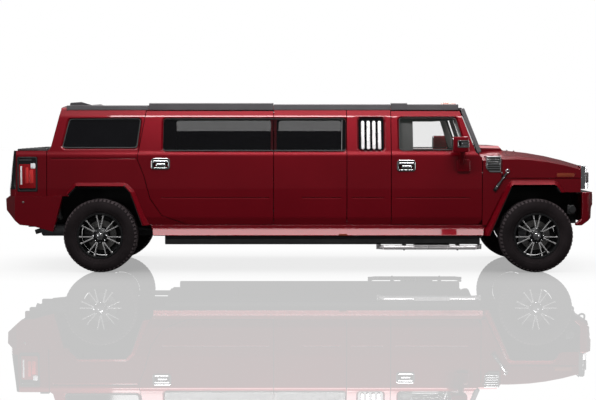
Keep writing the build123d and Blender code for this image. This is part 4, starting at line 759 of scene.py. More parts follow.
# ---------------------------------------------------------------- studio
@dataclass
class Studio:
    """Plain pale floor, soft light and the camera."""

    camera_place: Point = (-0.04, -16.0, 1.70)
    lens: float = 77.0
    look_down: float = 3.2
    floor_reach: float = 90.0
    mirror_share: float = 0.45
    shadow: float = 0.40
    floor_shine: float = 0.04
    horizon_shine: float = 0.095
    fill: float = 0.24
    bounce: float = 0.13
    shadow_reach: float = 1.1
    fade: Flat = (3.0, 32.0)
    sky_rise: Flat = (0.56, 0.92)

    def build(self) -> None:
        """Makes the floor, the lights, the world and the camera."""
        self._camera()
        self._floor()
        self._world()
        self._lights()

    def _camera(self) -> None:
        """Camera at the vehicle's right side."""
        data = bpy.data.cameras.new("camera")
        data.lens = self.lens
        data.sensor_width = 36.0
        camera = bpy.data.objects.new("camera", data)
        camera.location = self.camera_place
        camera.rotation_euler = (math.radians(90 - self.look_down), 0, 0)
        bpy.context.scene.collection.objects.link(camera)
        bpy.context.scene.camera = camera

    def _floor(self) -> None:
        """White polished floor: ambient occlusion darkens its emission into a painted shadow under the
        vehicle, and it mirrors the vehicle faintly.
        """
        mesh = bmesh.new()
        bmesh.ops.create_grid(mesh, x_segments=1, y_segments=1, size=self.floor_reach)
        data = bpy.data.meshes.new("floor")
        mesh.to_mesh(data)
        mesh.free()
        floor = bpy.data.objects.new("floor", data)
        bpy.context.scene.collection.objects.link(floor)
        material = bpy.data.materials.new("studio_floor")
        material.use_nodes = True
        nodes, links = material.node_tree.nodes, material.node_tree.links
        nodes.clear()
        rays = nodes.new("ShaderNodeLightPath")
        # Painted shadow: ambient occlusion darkens the floor's white emission near the vehicle, by up to the
        # share in shadow.
        open_sky = added(nodes, "AmbientOcclusion", {"Distance": self.shadow_reach})
        open_sky.samples = 12
        shade = ranged_node(nodes, 0.0, 1.0, 1.0 - self.shadow, 1.0)
        links.new(open_sky.outputs["AO"], shade.inputs["Value"])
        seen = nodes.new("ShaderNodeEmission")
        links.new(shade.outputs["Result"], seen.inputs["Strength"])
        mirror = added(nodes, "BsdfGlossy", {"Color": (1, 1, 1, 1), "Roughness": 0.0})
        polished = self._mixed(nodes, links, self.mirror_share, seen, mirror)
        dim = nodes.new("ShaderNodeEmission")
        far = nodes.new("ShaderNodeVectorMath")
        far.operation = "LENGTH"
        links.new(nodes.new("ShaderNodeTexCoord").outputs["Object"], far.inputs[0])
        fading = ranged_node(nodes, *self.fade, self.floor_shine, self.horizon_shine)
        links.new(far.outputs["Value"], fading.inputs["Value"])
        links.new(fading.outputs["Result"], dim.inputs["Strength"])
        bounce = added(nodes, "BsdfDiffuse", {"Color": (*[self.bounce] * 3, 1)})
        unseen = self._mixed(nodes, links, rays.outputs["Is Glossy Ray"], bounce, dim)
        whole = self._mixed(nodes, links, rays.outputs["Is Camera Ray"], unseen, polished)
        links.new(whole.outputs[0], nodes.new("ShaderNodeOutputMaterial").inputs["Surface"])
        data.materials.append(material)

    def _mixed(
        self, nodes: Nodes, links: Links, share: float | Socket, first: Shader, second: Shader,
    ) -> Shader:
        """Mix of two shaders; share is the second's part, as a number or a socket."""
        mix = nodes.new("ShaderNodeMixShader")
        if isinstance(share, float):
            mix.inputs["Fac"].default_value = share
        else:
            links.new(share, mix.inputs["Fac"])
        links.new(first.outputs[0], mix.inputs[1])
        links.new(second.outputs[0], mix.inputs[2])
        return mix

    def _world(self) -> None:
        """White behind everything, bright above in soft reflections, and a plain fill for the rest."""
        world = bpy.data.worlds.new("studio")
        world.use_nodes = True
        bpy.context.scene.world = world
        nodes, links = world.node_tree.nodes, world.node_tree.links
        sky = nodes["Background"]
        sky.inputs["Color"].default_value = (1, 1, 1, 1)
        rays = nodes.new("ShaderNodeLightPath")
        heading = nodes.new("ShaderNodeSeparateXYZ")
        links.new(nodes.new("ShaderNodeTexCoord").outputs["Generated"], heading.inputs["Vector"])
        height = ranged_node(nodes, *self.sky_rise, self.horizon_shine, 1.0)
        links.new(heading.outputs["Z"], height.inputs["Value"])
        soft = self._choose(nodes, links, rays.outputs["Is Glossy Ray"], self.fill, height.outputs["Result"])
        plain = None
        for kind in ("Is Camera Ray", "Is Transmission Ray", "Is Singular Ray"):
            if plain is None:
                plain = rays.outputs[kind]
                continue
            either = nodes.new("ShaderNodeMath")
            either.operation = "MAXIMUM"
            links.new(plain, either.inputs[0])
            links.new(rays.outputs[kind], either.inputs[1])
            plain = either.outputs[0]
        links.new(self._choose(nodes, links, plain, soft, 1.0), sky.inputs["Strength"])

    def _choose(
        self, nodes: Nodes, links: Links, switch: Socket, low: float | Socket, high: float | Socket,
    ) -> Socket:
        """Value between low and high by a switch; each is a number or a socket."""
        mix = nodes.new("ShaderNodeMix")
        links.new(switch, mix.inputs["Factor"])
        for name, value in (("A", low), ("B", high)):
            if isinstance(value, float):
                mix.inputs[name].default_value = value
            else:
                links.new(value, mix.inputs[name])
        return mix.outputs["Result"]

    def _lights(self) -> None:
        """A long soft box overhead, one high on each side and weak ones at the ends."""
        boxes = [  # name, place, target, size, power
            ("overhead", (0, 0, 6.0), (0, 0, 0), (10, 4.0), 640),
            ("front_soft", (10, 0, 4.0), (0, 0, 1.0), (5, 2.5), 130),
            ("rear_soft", (-10, 0, 4.0), (0, 0, 1.0), (5, 2.5), 130),
        ]
        for side, name in SIDES:
            boxes.append((f"high_{name}", (0.2, side * 4.6, 5.6), (0.2, 0, 1.3), (6.5, 1.0), 360))
            for end in (-1, 1):
                lamp = f"strip_{name}_{'front' if end > 0 else 'rear'}"
                boxes.append((lamp, (end * 8.5, side * 7.0, 1.5), (0, 0, 1.1), (0.9, 3.0), 48))
        for name, place, target, size, power in boxes:
            data = bpy.data.lights.new(name, "AREA")
            data.shape = "RECTANGLE"
            data.size, data.size_y = size
            data.energy = power
            lamp = bpy.data.objects.new(name, data)
            lamp.location = place
            aim = Vector(target) - Vector(place)
            lamp.rotation_euler = aim.to_track_quat("-Z", "Y").to_euler()
            lamp.visible_camera = False
            lamp.visible_glossy = name not in ("front_soft", "rear_soft")
            bpy.context.scene.collection.objects.link(lamp)


# ---------------------------------------------------------------- wheels
@dataclass
class Wheel:
    """One road wheel: treaded tyre, bright spokes over the black rim, cap, nuts and brake disc face."""

    name: str
    axle: float
    side: int
    pitches: int = 56
    pairs: int = 7
    face: float = 0.1021
    tip_radius: float = 0.251
    root_radius: float = 0.086

    def build(self) -> None:
        """Makes the wheel's pieces."""
        self._tyre()
        self._spokes()
        self._hub()
        self._disc()

    def _fit(self, form: Form, name: str, finish: Finish, stands_for: tuple[str, ...] = ()) -> None:
        """Makes a form about the origin, with Y outboard, a piece at the wheel's place."""
        form.moved(Matrix.Translation((self.axle, WHEEL_MIDDLE, HUB_HEIGHT))).sided(self.side)
        form.piece(name, finish, f"wheel_{self.name}", stands_for)

    def _tyre(self) -> None:
        """Carcass with ribs on the sidewall, and the tread's blocks, painted lighter than the carcass as
        painted light.
        """
        half = [
            (0.0, 0.4290), (0.060, 0.4285), (0.112, 0.4250), (0.132, 0.4170), (0.1435, 0.4000),
            (0.1500, 0.3750), (0.1515, 0.3480), (0.1490, 0.3380), (0.1500, 0.3360), (0.1480, 0.3280),
            (0.1440, 0.3180), (0.1360, 0.3010), (0.1355, 0.2970), (0.1300, 0.2930), (0.1280, 0.2830),
            (0.1200, 0.2740), (0.1090, 0.2640), (0.0900, 0.2625),
        ]
        inner = [(-along, radius) for along, radius in half[:0:-1]]
        carcass = Form().lathe(half + inner, (0, 0, 0), OUT, 112)
        tread = Form()
        for offset, row, length in ((0.0, 0.019, 0.040), (0.5, 0.060, 0.036)):
            for across in (-1, 1):
                self._block(tread, across * row, 0.034, length, 0.4225, 0.4352, offset + 0.25 * across)
        for across in (-1, 1):
            self._block(tread, across * 0.0985, 0.030, 0.033, 0.4184, 0.4324, 0.25 * across, across * 14)
            self._block(tread, across * 0.1285, 0.030, 0.027, 0.4060, 0.4205, 0.25 * across, across * 42)
        tread.around(self.pitches)
        self._fit(carcass, f"tyre_{self.name}_carcass", Finishes.tread, (f"tyre_{self.name}",))
        # the tread's blocks take the lighter finish, which is painted light
        self._fit(tread, f"tyre_{self.name}_tread", Finishes.lug_painted_light, (f"tyre_{self.name}",))

    def _held(self, form: Form) -> bpy.types.Mesh:
        """A form's mesh as data, to be added to another form."""
        data = bpy.data.meshes.new("held")
        form.mesh.to_mesh(data)
        form.mesh.free()
        return data

    def _block(
        self, form: Form, across: float, width: float, length: float, low: float, high: float, shift: float,
        lean: float = 0.0,
    ) -> None:
        """Adds one tread block, moved along the tread by a share of the pitch and leant over the shoulder."""
        part = Form().block((-length / 2, -width / 2, low - high), (length / 2, width / 2, 0), 0.0022, 1)
        turn = Matrix.Rotation(math.radians(-lean), 4, "X")
        spot = Matrix.Rotation(2 * math.pi * shift / self.pitches, 4, "Y")
        part.moved(spot @ Matrix.Translation((0, across, high)) @ turn)
        form.mesh.from_mesh(self._held(part))

    def _spokes(self) -> None:
        """Pairs of slim spokes with round bolted tips."""
        form = Form()
        for lean in (-1, 1):
            root, tip = math.radians(lean * 4.5), math.radians(lean * 9.5)
            start = Vector((self.root_radius * math.sin(root), self.root_radius * math.cos(root)))
            end = Vector((self.tip_radius * math.sin(tip), self.tip_radius * math.cos(tip)))
            run = (end - start).normalized()
            across = Vector((run.y, -run.x))
            stations = ((-0.012, 0.0085), (0.25, 0.0068), (0.80, 0.0062), (0.93, 0.0088), (1.0, 0.0085))
            line = [(start.lerp(end, share), half) for share, half in stations]
            form.plate(ribbon(line, across), "y", self.face, self.face + 0.0052, soft=0.0018)
            bolt = end - run * 0.009
            form.disc((bolt.x, self.face + 0.001, bolt.y), OUT, 0.0118, 0.0085, 0.003, 20)
            form.disc((bolt.x, self.face + 0.008, bolt.y), OUT, 0.0058, 0.005, 0.0012, 6)
        form.around(self.pairs)
        self._fit(form, f"rim_{self.name}_spokes", Finishes.spoke)

    def _hub(self) -> None:
        """Plain cap on its stepped hub, wheel nuts and the valve."""
        cap = Form().lathe(
            [
                (0.124, 0.0), (0.124, 0.0445), (0.1300, 0.0450), (0.1335, 0.0425), (0.1350, 0.0340),
                (0.1335, 0.0325), (0.1360, 0.0290), (0.1395, 0.0150), (0.1402, 0.0),
            ],
            (0, 0, 0), OUT, 48,
        )
        self._fit(cap, f"rim_{self.name}_cap", Finishes.chrome)
        nuts = Form().disc((0, 0.094, 0.075), Vector((0, 1, 0.32)), 0.0105, 0.018, 0.002, 6)
        nuts.disc((0, 0.108, 0.0795), Vector((0, 1, 0.32)), 0.0070, 0.008, 0.003, 16)
        nuts.around(8)
        self._fit(nuts, f"rim_{self.name}_nuts", Finishes.chrome)
        bowl = Form().lathe(
            [(0.0978, 0.0655), (0.0905, 0.0870), (0.0935, 0.0880), (0.0990, 0.0665)], (0, 0, 0), OUT, 56,
        )
        bowl.lathe(
            [(0.1165, 0.2610), (0.1165, 0.2690), (0.1252, 0.2700), (0.1262, 0.2655), (0.1252, 0.2610)],
            (0, 0, 0), OUT, 96,
        )
        bowl.tube([(0.16, 0.108, 0.188), (0.155, 0.124, 0.182)], 0.0035, 10)
        self._fit(bowl, f"rim_{self.name}_rings", Finishes.barrel)

    def _disc(self) -> None:
        """Bright rubbed face of the brake disc, with its drillings as dark studs of painted shade."""
        face = Form().lathe(
            [(-0.0129, 0.104), (-0.0129, 0.1772), (-0.0112, 0.1772), (-0.0112, 0.104)], (0, 0, 0), OUT, 72,
        )
        self._fit(face, f"brake_{self.name}_face", Finishes.disc)
        # Painted shade: dark studs stand for the holes drilled in the disc.
        studs = Form().disc((0, -0.0115, 0.125), OUT, 0.004, 0.0008, 0, 10)
        studs.disc((0.012, -0.0115, 0.155), OUT, 0.004, 0.0008, 0, 10)
        studs.around(18)
        self._fit(studs, f"brake_{self.name}_drillings", Finishes.shadow)


# ---------------------------------------------------------------- panels
def in_outline(point: Flat, outline: tuple[Flat, ...]) -> bool:
    """True where a point lies inside a closed outline."""
    inside = False
    for (u0, v0), (u1, v1) in zip(outline, outline[1:] + outline[:1]):
        if (v0 > point[1]) != (v1 > point[1]) and point[0] < (u1 - u0) * (point[1] - v0) / (v1 - v0) + u0:
            inside = not inside
    return inside


@dataclass
class Bodywork:
    """Painted panels, glass and fixed trim, dressed over the CAD nodes."""

    frame: dict
    soft: float = 0.005
    lip: float = 1.028
    flare_reach: float = 0.014
    wall: float = 0.05

    FRONT_ARCH = ((2.192, 0.40), (2.474, 1.042), (3.002, 1.042), (3.064, 0.952), (3.30, 0.952), (3.30, 0.40))
    REAR_ARCH = (
        (-2.800, 0.40), (-2.752, 0.925), (-2.655, 1.030), (-2.080, 1.030), (-2.008, 0.950), (-1.808, 0.40),
    )
    BENDS = (0.652, 1.000, 1.385, 1.430, 1.848)
    SALON = (-1.90, 0.60)
    LINED = ("door_front_left", "door_front_right", "door_rear_left", "door_rear_right", "side_panels")
    PAINTED = (  # node, width of the bevel on its edges
        ("sills", 0.004), ("front_bumper", 0.008), ("rear_bumper", 0.008), ("hood", 0.007),
        ("tailgate", 0.008), ("rear_wall", 0.003),
    )
    PLAIN = (  # node, finish, width of the bevel on its edges
        ("roof_rails", Finishes.roof_cover, 0.005), ("windshield_frame", Finishes.roof_cover, 0.004),
        ("rock_rails", Finishes.trim, 0.006), ("deck_lid", Finishes.trim, 0.006),
        # the corner posts' gloss black is painted shade, standing for body corners that are dark where they
        # face away from the light
        ("corner_posts", Finishes.gloss_black, 0.004), ("vent_bars", Finishes.polished, 0.0075),
        ("cowl_vents", Finishes.chrome, 0.0022), ("grille", Finishes.chrome, 0.005),
        ("chassis", Finishes.steel, 0.004), ("front_suspension", Finishes.steel, 0.003),
        ("rear_axle", Finishes.steel, 0.003), ("knuckle_left", Finishes.iron, 0.003),
        ("knuckle_right", Finishes.iron, 0.003), ("exhaust", Finishes.iron, 0.002),
        ("fuel_tank", Finishes.steel, 0.01), ("powertrain", Finishes.iron, 0.012),
        ("floor_tub", Finishes.shadow, 0.003), ("dashboard", Finishes.dash, 0.012),
        ("partition", Finishes.dash, 0.006), ("steering_wheel", Finishes.dark_leather, 0.004),
        ("step_tubes", Finishes.polished, 0.002),
    )
    SILL_PROFILE = (  # (half width, height) of an edge, and where it goes
        ((0.960, 0.512), (0.944, 0.520)), ((0.994, 0.490), (0.964, 0.514)), ((1.031, 0.466), (1.031, 0.449)),
    )
    BARE = (  # node that keeps the CAD's own mesh, finish
        ("windshield", Finishes.screen), ("glass_front_left", Finishes.clear),
        ("glass_front_right", Finishes.clear), ("glass_rear_left", Finishes.privacy),
        ("glass_rear_right", Finishes.privacy),
    )

    def build(self) -> None:
        """Dresses every body panel."""
        for node, soft in self.PAINTED:
            profile = self.SILL_PROFILE if node == "sills" else ()
            dressed_copy(self.frame, node, node + "_paint", Finishes.paint, soft, profile=profile)
        for node, arch in (("front_fenders", self.FRONT_ARCH), ("quarter_panels", self.REAR_ARCH)):
            dressed_copy(
                self.frame, node, node + "_paint", Finishes.paint, 0.006, 2, Finishes.shadow,
                lambda middle, normal, arch=arch: self._in_arch(middle, arch), self.BENDS,
                is_round=lambda one, other, arch=arch: self._on_flare(one, other, arch),
            )
        for node in self.LINED:
            dressed_copy(
                self.frame, node, node + "_paint", Finishes.paint, self.soft, 2, Finishes.dash,
                self._is_inside, self.BENDS,
            )
        dressed_copy(
            self.frame, "roof", "roof_paint", Finishes.paint, self.soft, 2, Finishes.roof_lining,
            lambda middle, normal: normal.z < -0.5,
        )
        for _, name in SIDES:
            for end in ("front", "rear"):
                rim = f"rim_{end}_{name}"
                dressed_copy(self.frame, rim, f"{rim}_barrel", Finishes.barrel, 0.0015, 1)
        dressed_copy(
            self.frame, "privacy_glass", "privacy_panes", Finishes.privacy, 0, 1, Finishes.dark_pane,
            lambda middle, normal: not self.SALON[0] <= middle.x <= self.SALON[1],
        )
        for node, finish, soft in self.PLAIN:
            dressed_copy(self.frame, node, node + "_finish", finish, soft)
        for node, finish in self.BARE:
            made = self.frame["nodes"][node]
            made.data.materials.clear()
            made.data.materials.append(finish.material())

    def _in_arch(self, middle: Vector, arch: tuple[Flat, ...]) -> bool:
        """True for a face within the wheel arch, inboard of its lip."""
        return in_outline((middle.x, middle.z), arch) and abs(middle.y) < self.lip

    def _on_flare(self, one: Vector, other: Vector, arch: tuple[Flat, ...]) -> bool:
        """True for an edge along the outer rim of a wheel arch flare."""
        if min(abs(one.y), abs(other.y)) < self.lip:
            return False
        spot = Vector(((one.x + other.x) / 2, (one.z + other.z) / 2))
        for start, end in zip(arch, arch[1:]):
            near, _ = geometry.intersect_point_line(spot, Vector(start), Vector(end))
            if (near.to_2d() - spot).length < self.flare_reach:
                return False
        return True

    def _is_inside(self, middle: Vector, normal: Vector) -> bool:
        """True for a face that looks into the cabin."""
        return normal.y * middle.y < 0 and abs(normal.y) > 0.6 and abs(middle.y) < skin(middle.z) - self.wall


@dataclass
class SideTrim:
    """Trim that lies on the body sides: handles, vents, window rubbers and lamps."""

    side: int
    name: str

    FRONT_HANDLE = (1.238, 1.264)
    REAR_HANDLE = (-1.661, 1.287)
    FRONT_WINDOW = [(1.159, 1.446), (1.951, 1.446), (1.834, 1.836), (1.159, 1.836)]
    MID_WINDOW = [(-0.325, 1.436), (0.528, 1.436), (0.528, 1.826), (-0.325, 1.826)]
    REAR_WINDOW = [(-1.639, 1.436), (-0.333, 1.436), (-0.333, 1.826), (-1.639, 1.826)]
    QUARTER_WINDOW = [(-2.837, 1.470), (-1.944, 1.470), (-1.905, 1.827), (-2.760, 1.820)]
    VENT = [(0.676, 1.446), (0.979, 1.446), (0.979, 1.836), (0.676, 1.836)]

    def build(self) -> None:
        """Makes this side's trim."""
        self._handle("front", self.FRONT_HANDLE)
        self._handle("rear", self.REAR_HANDLE)
        self._rubbers()
        self._vent_back()
        self._lamps()
        self._latch()
        self._louvres()

    def _louvres(self) -> None:
        """Dark plates of painted shade in the slots between the bright louvres of the cowl vent."""
        slots, blades = Form(), Form()
        for row in range(6):
            level = 1.283 + (row - 2.5) * 0.0272
            # painted shade: a dark plate fills each gap between the blades
            slots.pad((2.268, level), 0.146, 0.0165, 0.003, "y", 0.9690, 0.9732)
            blades.pad((2.268, level + 0.0135), 0.150, 0.0075, 0.003, "y", 0.9700, 0.9785, 0.002)
        slots.sided(self.side).piece(f"cowl_slot_painted_shade_{self.name}", Finishes.shadow, "body")
        blades.sided(self.side).piece(f"cowl_blades_{self.name}", Finishes.chrome, "body")

    def _handle(self, which: str, centre: Flat) -> None:
        """Bezel, cup and grip of one door handle."""
        body = f"door_{which}_{self.name}"
        x, z = centre
        bezel = Form().rim(centre, (0.224, 0.134, 0.030), (0.176, 0.090, 0.018), "y", -0.006, 0.011, 0.0065)
        bezel.pad((x, z + 0.024), 0.180, 0.030, 0.012, "y", -0.016, 0.0160, 0.0115)
        bezel.pad((x + 0.004, z - 0.018), 0.122, 0.044, 0.014, "y", -0.024, 0.0080, 0.0135)
        bezel.draped(self.side).piece(f"door_{which}_{self.name}_handle", Finishes.chrome, body)
        # Painted shade: the cup inside the bezel is gloss black, so that the gaps round the grip read dark.
        cup = Form().rim(centre, (0.1745, 0.0905, 0.0195), (0.168, 0.084, 0.016), "y", -0.044, -0.003)
        cup.pad(centre, 0.172, 0.088, 0.018, "y", -0.0448, -0.0425)
        cup.draped(self.side).piece(f"door_{which}_{self.name}_cup", Finishes.gloss_black, body)

    def _rubbers(self) -> None:
        """Rubber round each pane; a pane that runs to a shut line has none there."""
        rows = (  # name, outline, body, first coordinate of the edge without rubber
            ("front", self.FRONT_WINDOW, f"door_front_{self.name}", None),
            ("mid", self.MID_WINDOW, "body", -0.325),
            ("rear", self.REAR_WINDOW, f"door_rear_{self.name}", -0.333),
            ("quarter", self.QUARTER_WINDOW, "body", None),
        )
        for which, outline, body, keep in rows:
            line = self._cornered(outline, 0.036, keep)
            form = Form().band(line, shrunk(line, 0.013, keep), "y", -0.0246, -0.0185, 0.0015)
            form.draped(self.side).piece(f"rubber_{which}_{self.name}", Finishes.seal, body)

    def _cornered(self, outline: list[Flat], radius: float, keep: float | None) -> list[Flat]:
        """Four-sided outline with rounded corners, apart from those on an edge that is kept."""
        points = []
        for index, corner in enumerate(outline):
            here = Vector(corner)
            if keep is not None and abs(corner[0] - keep) < SAME_SPOT:
                points.append(tuple(here))
                continue
            back = (Vector(outline[index - 1]) - here).normalized() * radius
            ahead = (Vector(outline[(index + 1) % 4]) - here).normalized() * radius
            for step in range(6):
                share = step / 5
                points.append(
                    tuple((here + back).lerp(here, share).lerp(here.lerp(here + ahead, share), share)),
                )
        return points

    def _vent_back(self) -> None:
        """Dark tray behind the pane of the barred vent: painted shade for the dark space behind it."""
        tray = Form().plate(shrunk(self.VENT, 0.004), "y", -0.060, -0.052, 0.02)
        # painted shade: a dark plate behind the vent's pane
        tray.draped(self.side).piece(f"vent_painted_shade_{self.name}", Finishes.gloss_black, "body")

    def _lamps(self) -> None:
        """Amber lamp in the sill and the side marker on the hood."""
        sill = Form().pad((0.4905, 0.4535), 0.094, 0.019, 0.004, "y", 1.0100, 1.0365, 0.0018)
        sill.sided(self.side).piece(
            f"sill_marker_{self.name}", Finishes.amber_lens, "body", ("marker_lamps",),
        )
        spot, inner = (3.118, 1.1555), (0.206, 0.046, 0.008)
        seat = Form().rim(spot, (0.226, 0.064, 0.012), inner, "y", 0.9600, 0.9665, 0.0015)
        seat.sided(self.side).piece(f"hood_marker_frame_{self.name}", Finishes.paint, "hood")
        lens = Form().pad(spot, *inner, "y", 0.9590, 0.9655, 0.002)
        lens.sided(self.side).piece(f"hood_marker_{self.name}", Finishes.amber_lens, "hood")

    def _latch(self) -> None:
        """Rubber strap with its eye, over the seam between hood and fender."""
        top, foot = Vector((2.432, 1.199)), Vector((2.275, 0.968))
        run = (foot - top).normalized()
        across = Vector((-run.y, run.x))
        stations = ((0.10, 0.010), (0.22, 0.016), (0.50, 0.011), (0.62, 0.019), (0.97, 0.020), (1.0, 0.014))
        line = [(top.lerp(foot, share), half) for share, half in stations]
        strap = Form().plate(ribbon(line, across), "y", 0.9640, 0.9820, soft=0.004)
        strap.block((2.285, 0.9625, 0.985), (2.305, 0.9650, 1.005), 0.0008)
        strap.sided(self.side).piece(f"hood_latch_{self.name}", Finishes.gloss_black, "body")
        eye = Form()
        eye.mesh.from_mesh(ring_mesh(0.020, 0.0055, 28))
        eye.moved(Matrix.Translation((top.x, 0.974, top.y)) @ Matrix.Rotation(math.pi / 2, 4, "X"))
        stations = ((0.28, 0.0085), (0.50, 0.0060), (0.66, 0.0120), (0.92, 0.0130))
        spine = [(top.lerp(foot, share), half) for share, half in stations]
        eye.plate(ribbon(spine, across), "y", 0.9800, 0.9850, soft=0.003)
        pair = top.lerp(foot, 0.30)
        start = top.lerp(foot, 0.09)
        eye.tube([(start.x, 0.985, start.y), (pair.x, 0.985, pair.y)], 0.0045, 10)
        pad = top.lerp(foot, 0.80)
        eye.disc((pad.x, 0.980, pad.y), OUT, 0.010, 0.006, 0.002, 24)
        eye.sided(self.side).piece(f"hood_latch_eye_{self.name}", Finishes.chrome, "body")


def ring_mesh(radius: float, thickness: float, steps: int) -> bpy.types.Mesh:
    """Round ring about Z.

    Args:
        radius: radius of its middle line.
        thickness: radius of its section.
        steps: runs round it.

    Returns:
        The ring as mesh data.
    """
    part = bmesh.new()
    bmesh.ops.create_circle(part, segments=12, radius=thickness)
    turn = Matrix.Translation((radius, 0, 0)) @ Matrix.Rotation(math.pi / 2, 4, "X")
    bmesh.ops.transform(part, matrix=turn, verts=part.verts)
    bmesh.ops.spin(
        part, geom=part.verts[:] + part.edges[:], cent=(0, 0, 0), axis=(0, 0, 1), angle=2 * math.pi,
        steps=steps, use_merge=True,
    )
    bmesh.ops.remove_doubles(part, verts=part.verts, dist=WELD)
    bmesh.ops.recalc_face_normals(part, faces=part.faces)
    data = bpy.data.meshes.new("ring")
    part.to_mesh(data)
    part.free()
    return data


@dataclass
class DoorMirror:
    """Square mirror on its neck, with a bright insert in its outer face."""

    side: int
    name: str
    reach: float = 1.1745
    low: float = 1.427
    high: float = 1.608
    rear: float = 1.765
    front: float = 1.954

    def build(self) -> None:
        """Makes the mirror's pieces on its door."""
        door = f"door_front_{self.name}"
        head = [
            (self.rear, self.low), (self.front, self.low), (self.front - 0.007, self.high),
            (self.rear, self.high),
        ]
        shell = Form().plate(head, "y", 0.985, self.reach, 0.026, 0.014)
        neck = [(1.887, y, z) for y, z in ((0.955, 1.272), (0.985, 1.315), (1.045, 1.405), (1.075, 1.450))]
        shell.tube(neck, 0.027, 20, 0.02)
        foot = [(1.836, 1.196), (1.989, 1.196), (1.989, 1.336), (1.836, 1.336)]
        shell.plate(foot, "y", 0.9683, 0.990, 0.018, 0.007)
        shell.sided(self.side).piece(
            f"mirror_{self.name}_shell", Finishes.paint, door, (f"mirror_{self.name}",),
        )
        middle = (1.881, 1.524)
        insert = Form().rim(middle, (0.136, 0.086, 0.014), (0.112, 0.060, 0.008), "y", 1.1725, 1.1795, 0.002)
        for row in (-0.018, 0.0, 0.018):
            insert.pad((middle[0] + 0.014, middle[1] + row), 0.078, 0.011, 0.004, "y", 1.1735, 1.1785, 0.0015)
        insert.sided(self.side).piece(f"mirror_{self.name}_insert", Finishes.chrome, door)
        bed = Form().pad(middle, 0.114, 0.062, 0.008, "y", 1.1735, 1.1760)
        bed.sided(self.side).piece(f"mirror_{self.name}_bed", Finishes.gloss_black, door)
        glass = Form().pad(
            (1.080, 1.517), 0.158, 0.150, 0.022, "x", self.rear - 0.0025, self.rear + 0.002, 0.0012,
        )
        glass.sided(self.side).piece(f"mirror_{self.name}_glass", Finishes.mirror, door)


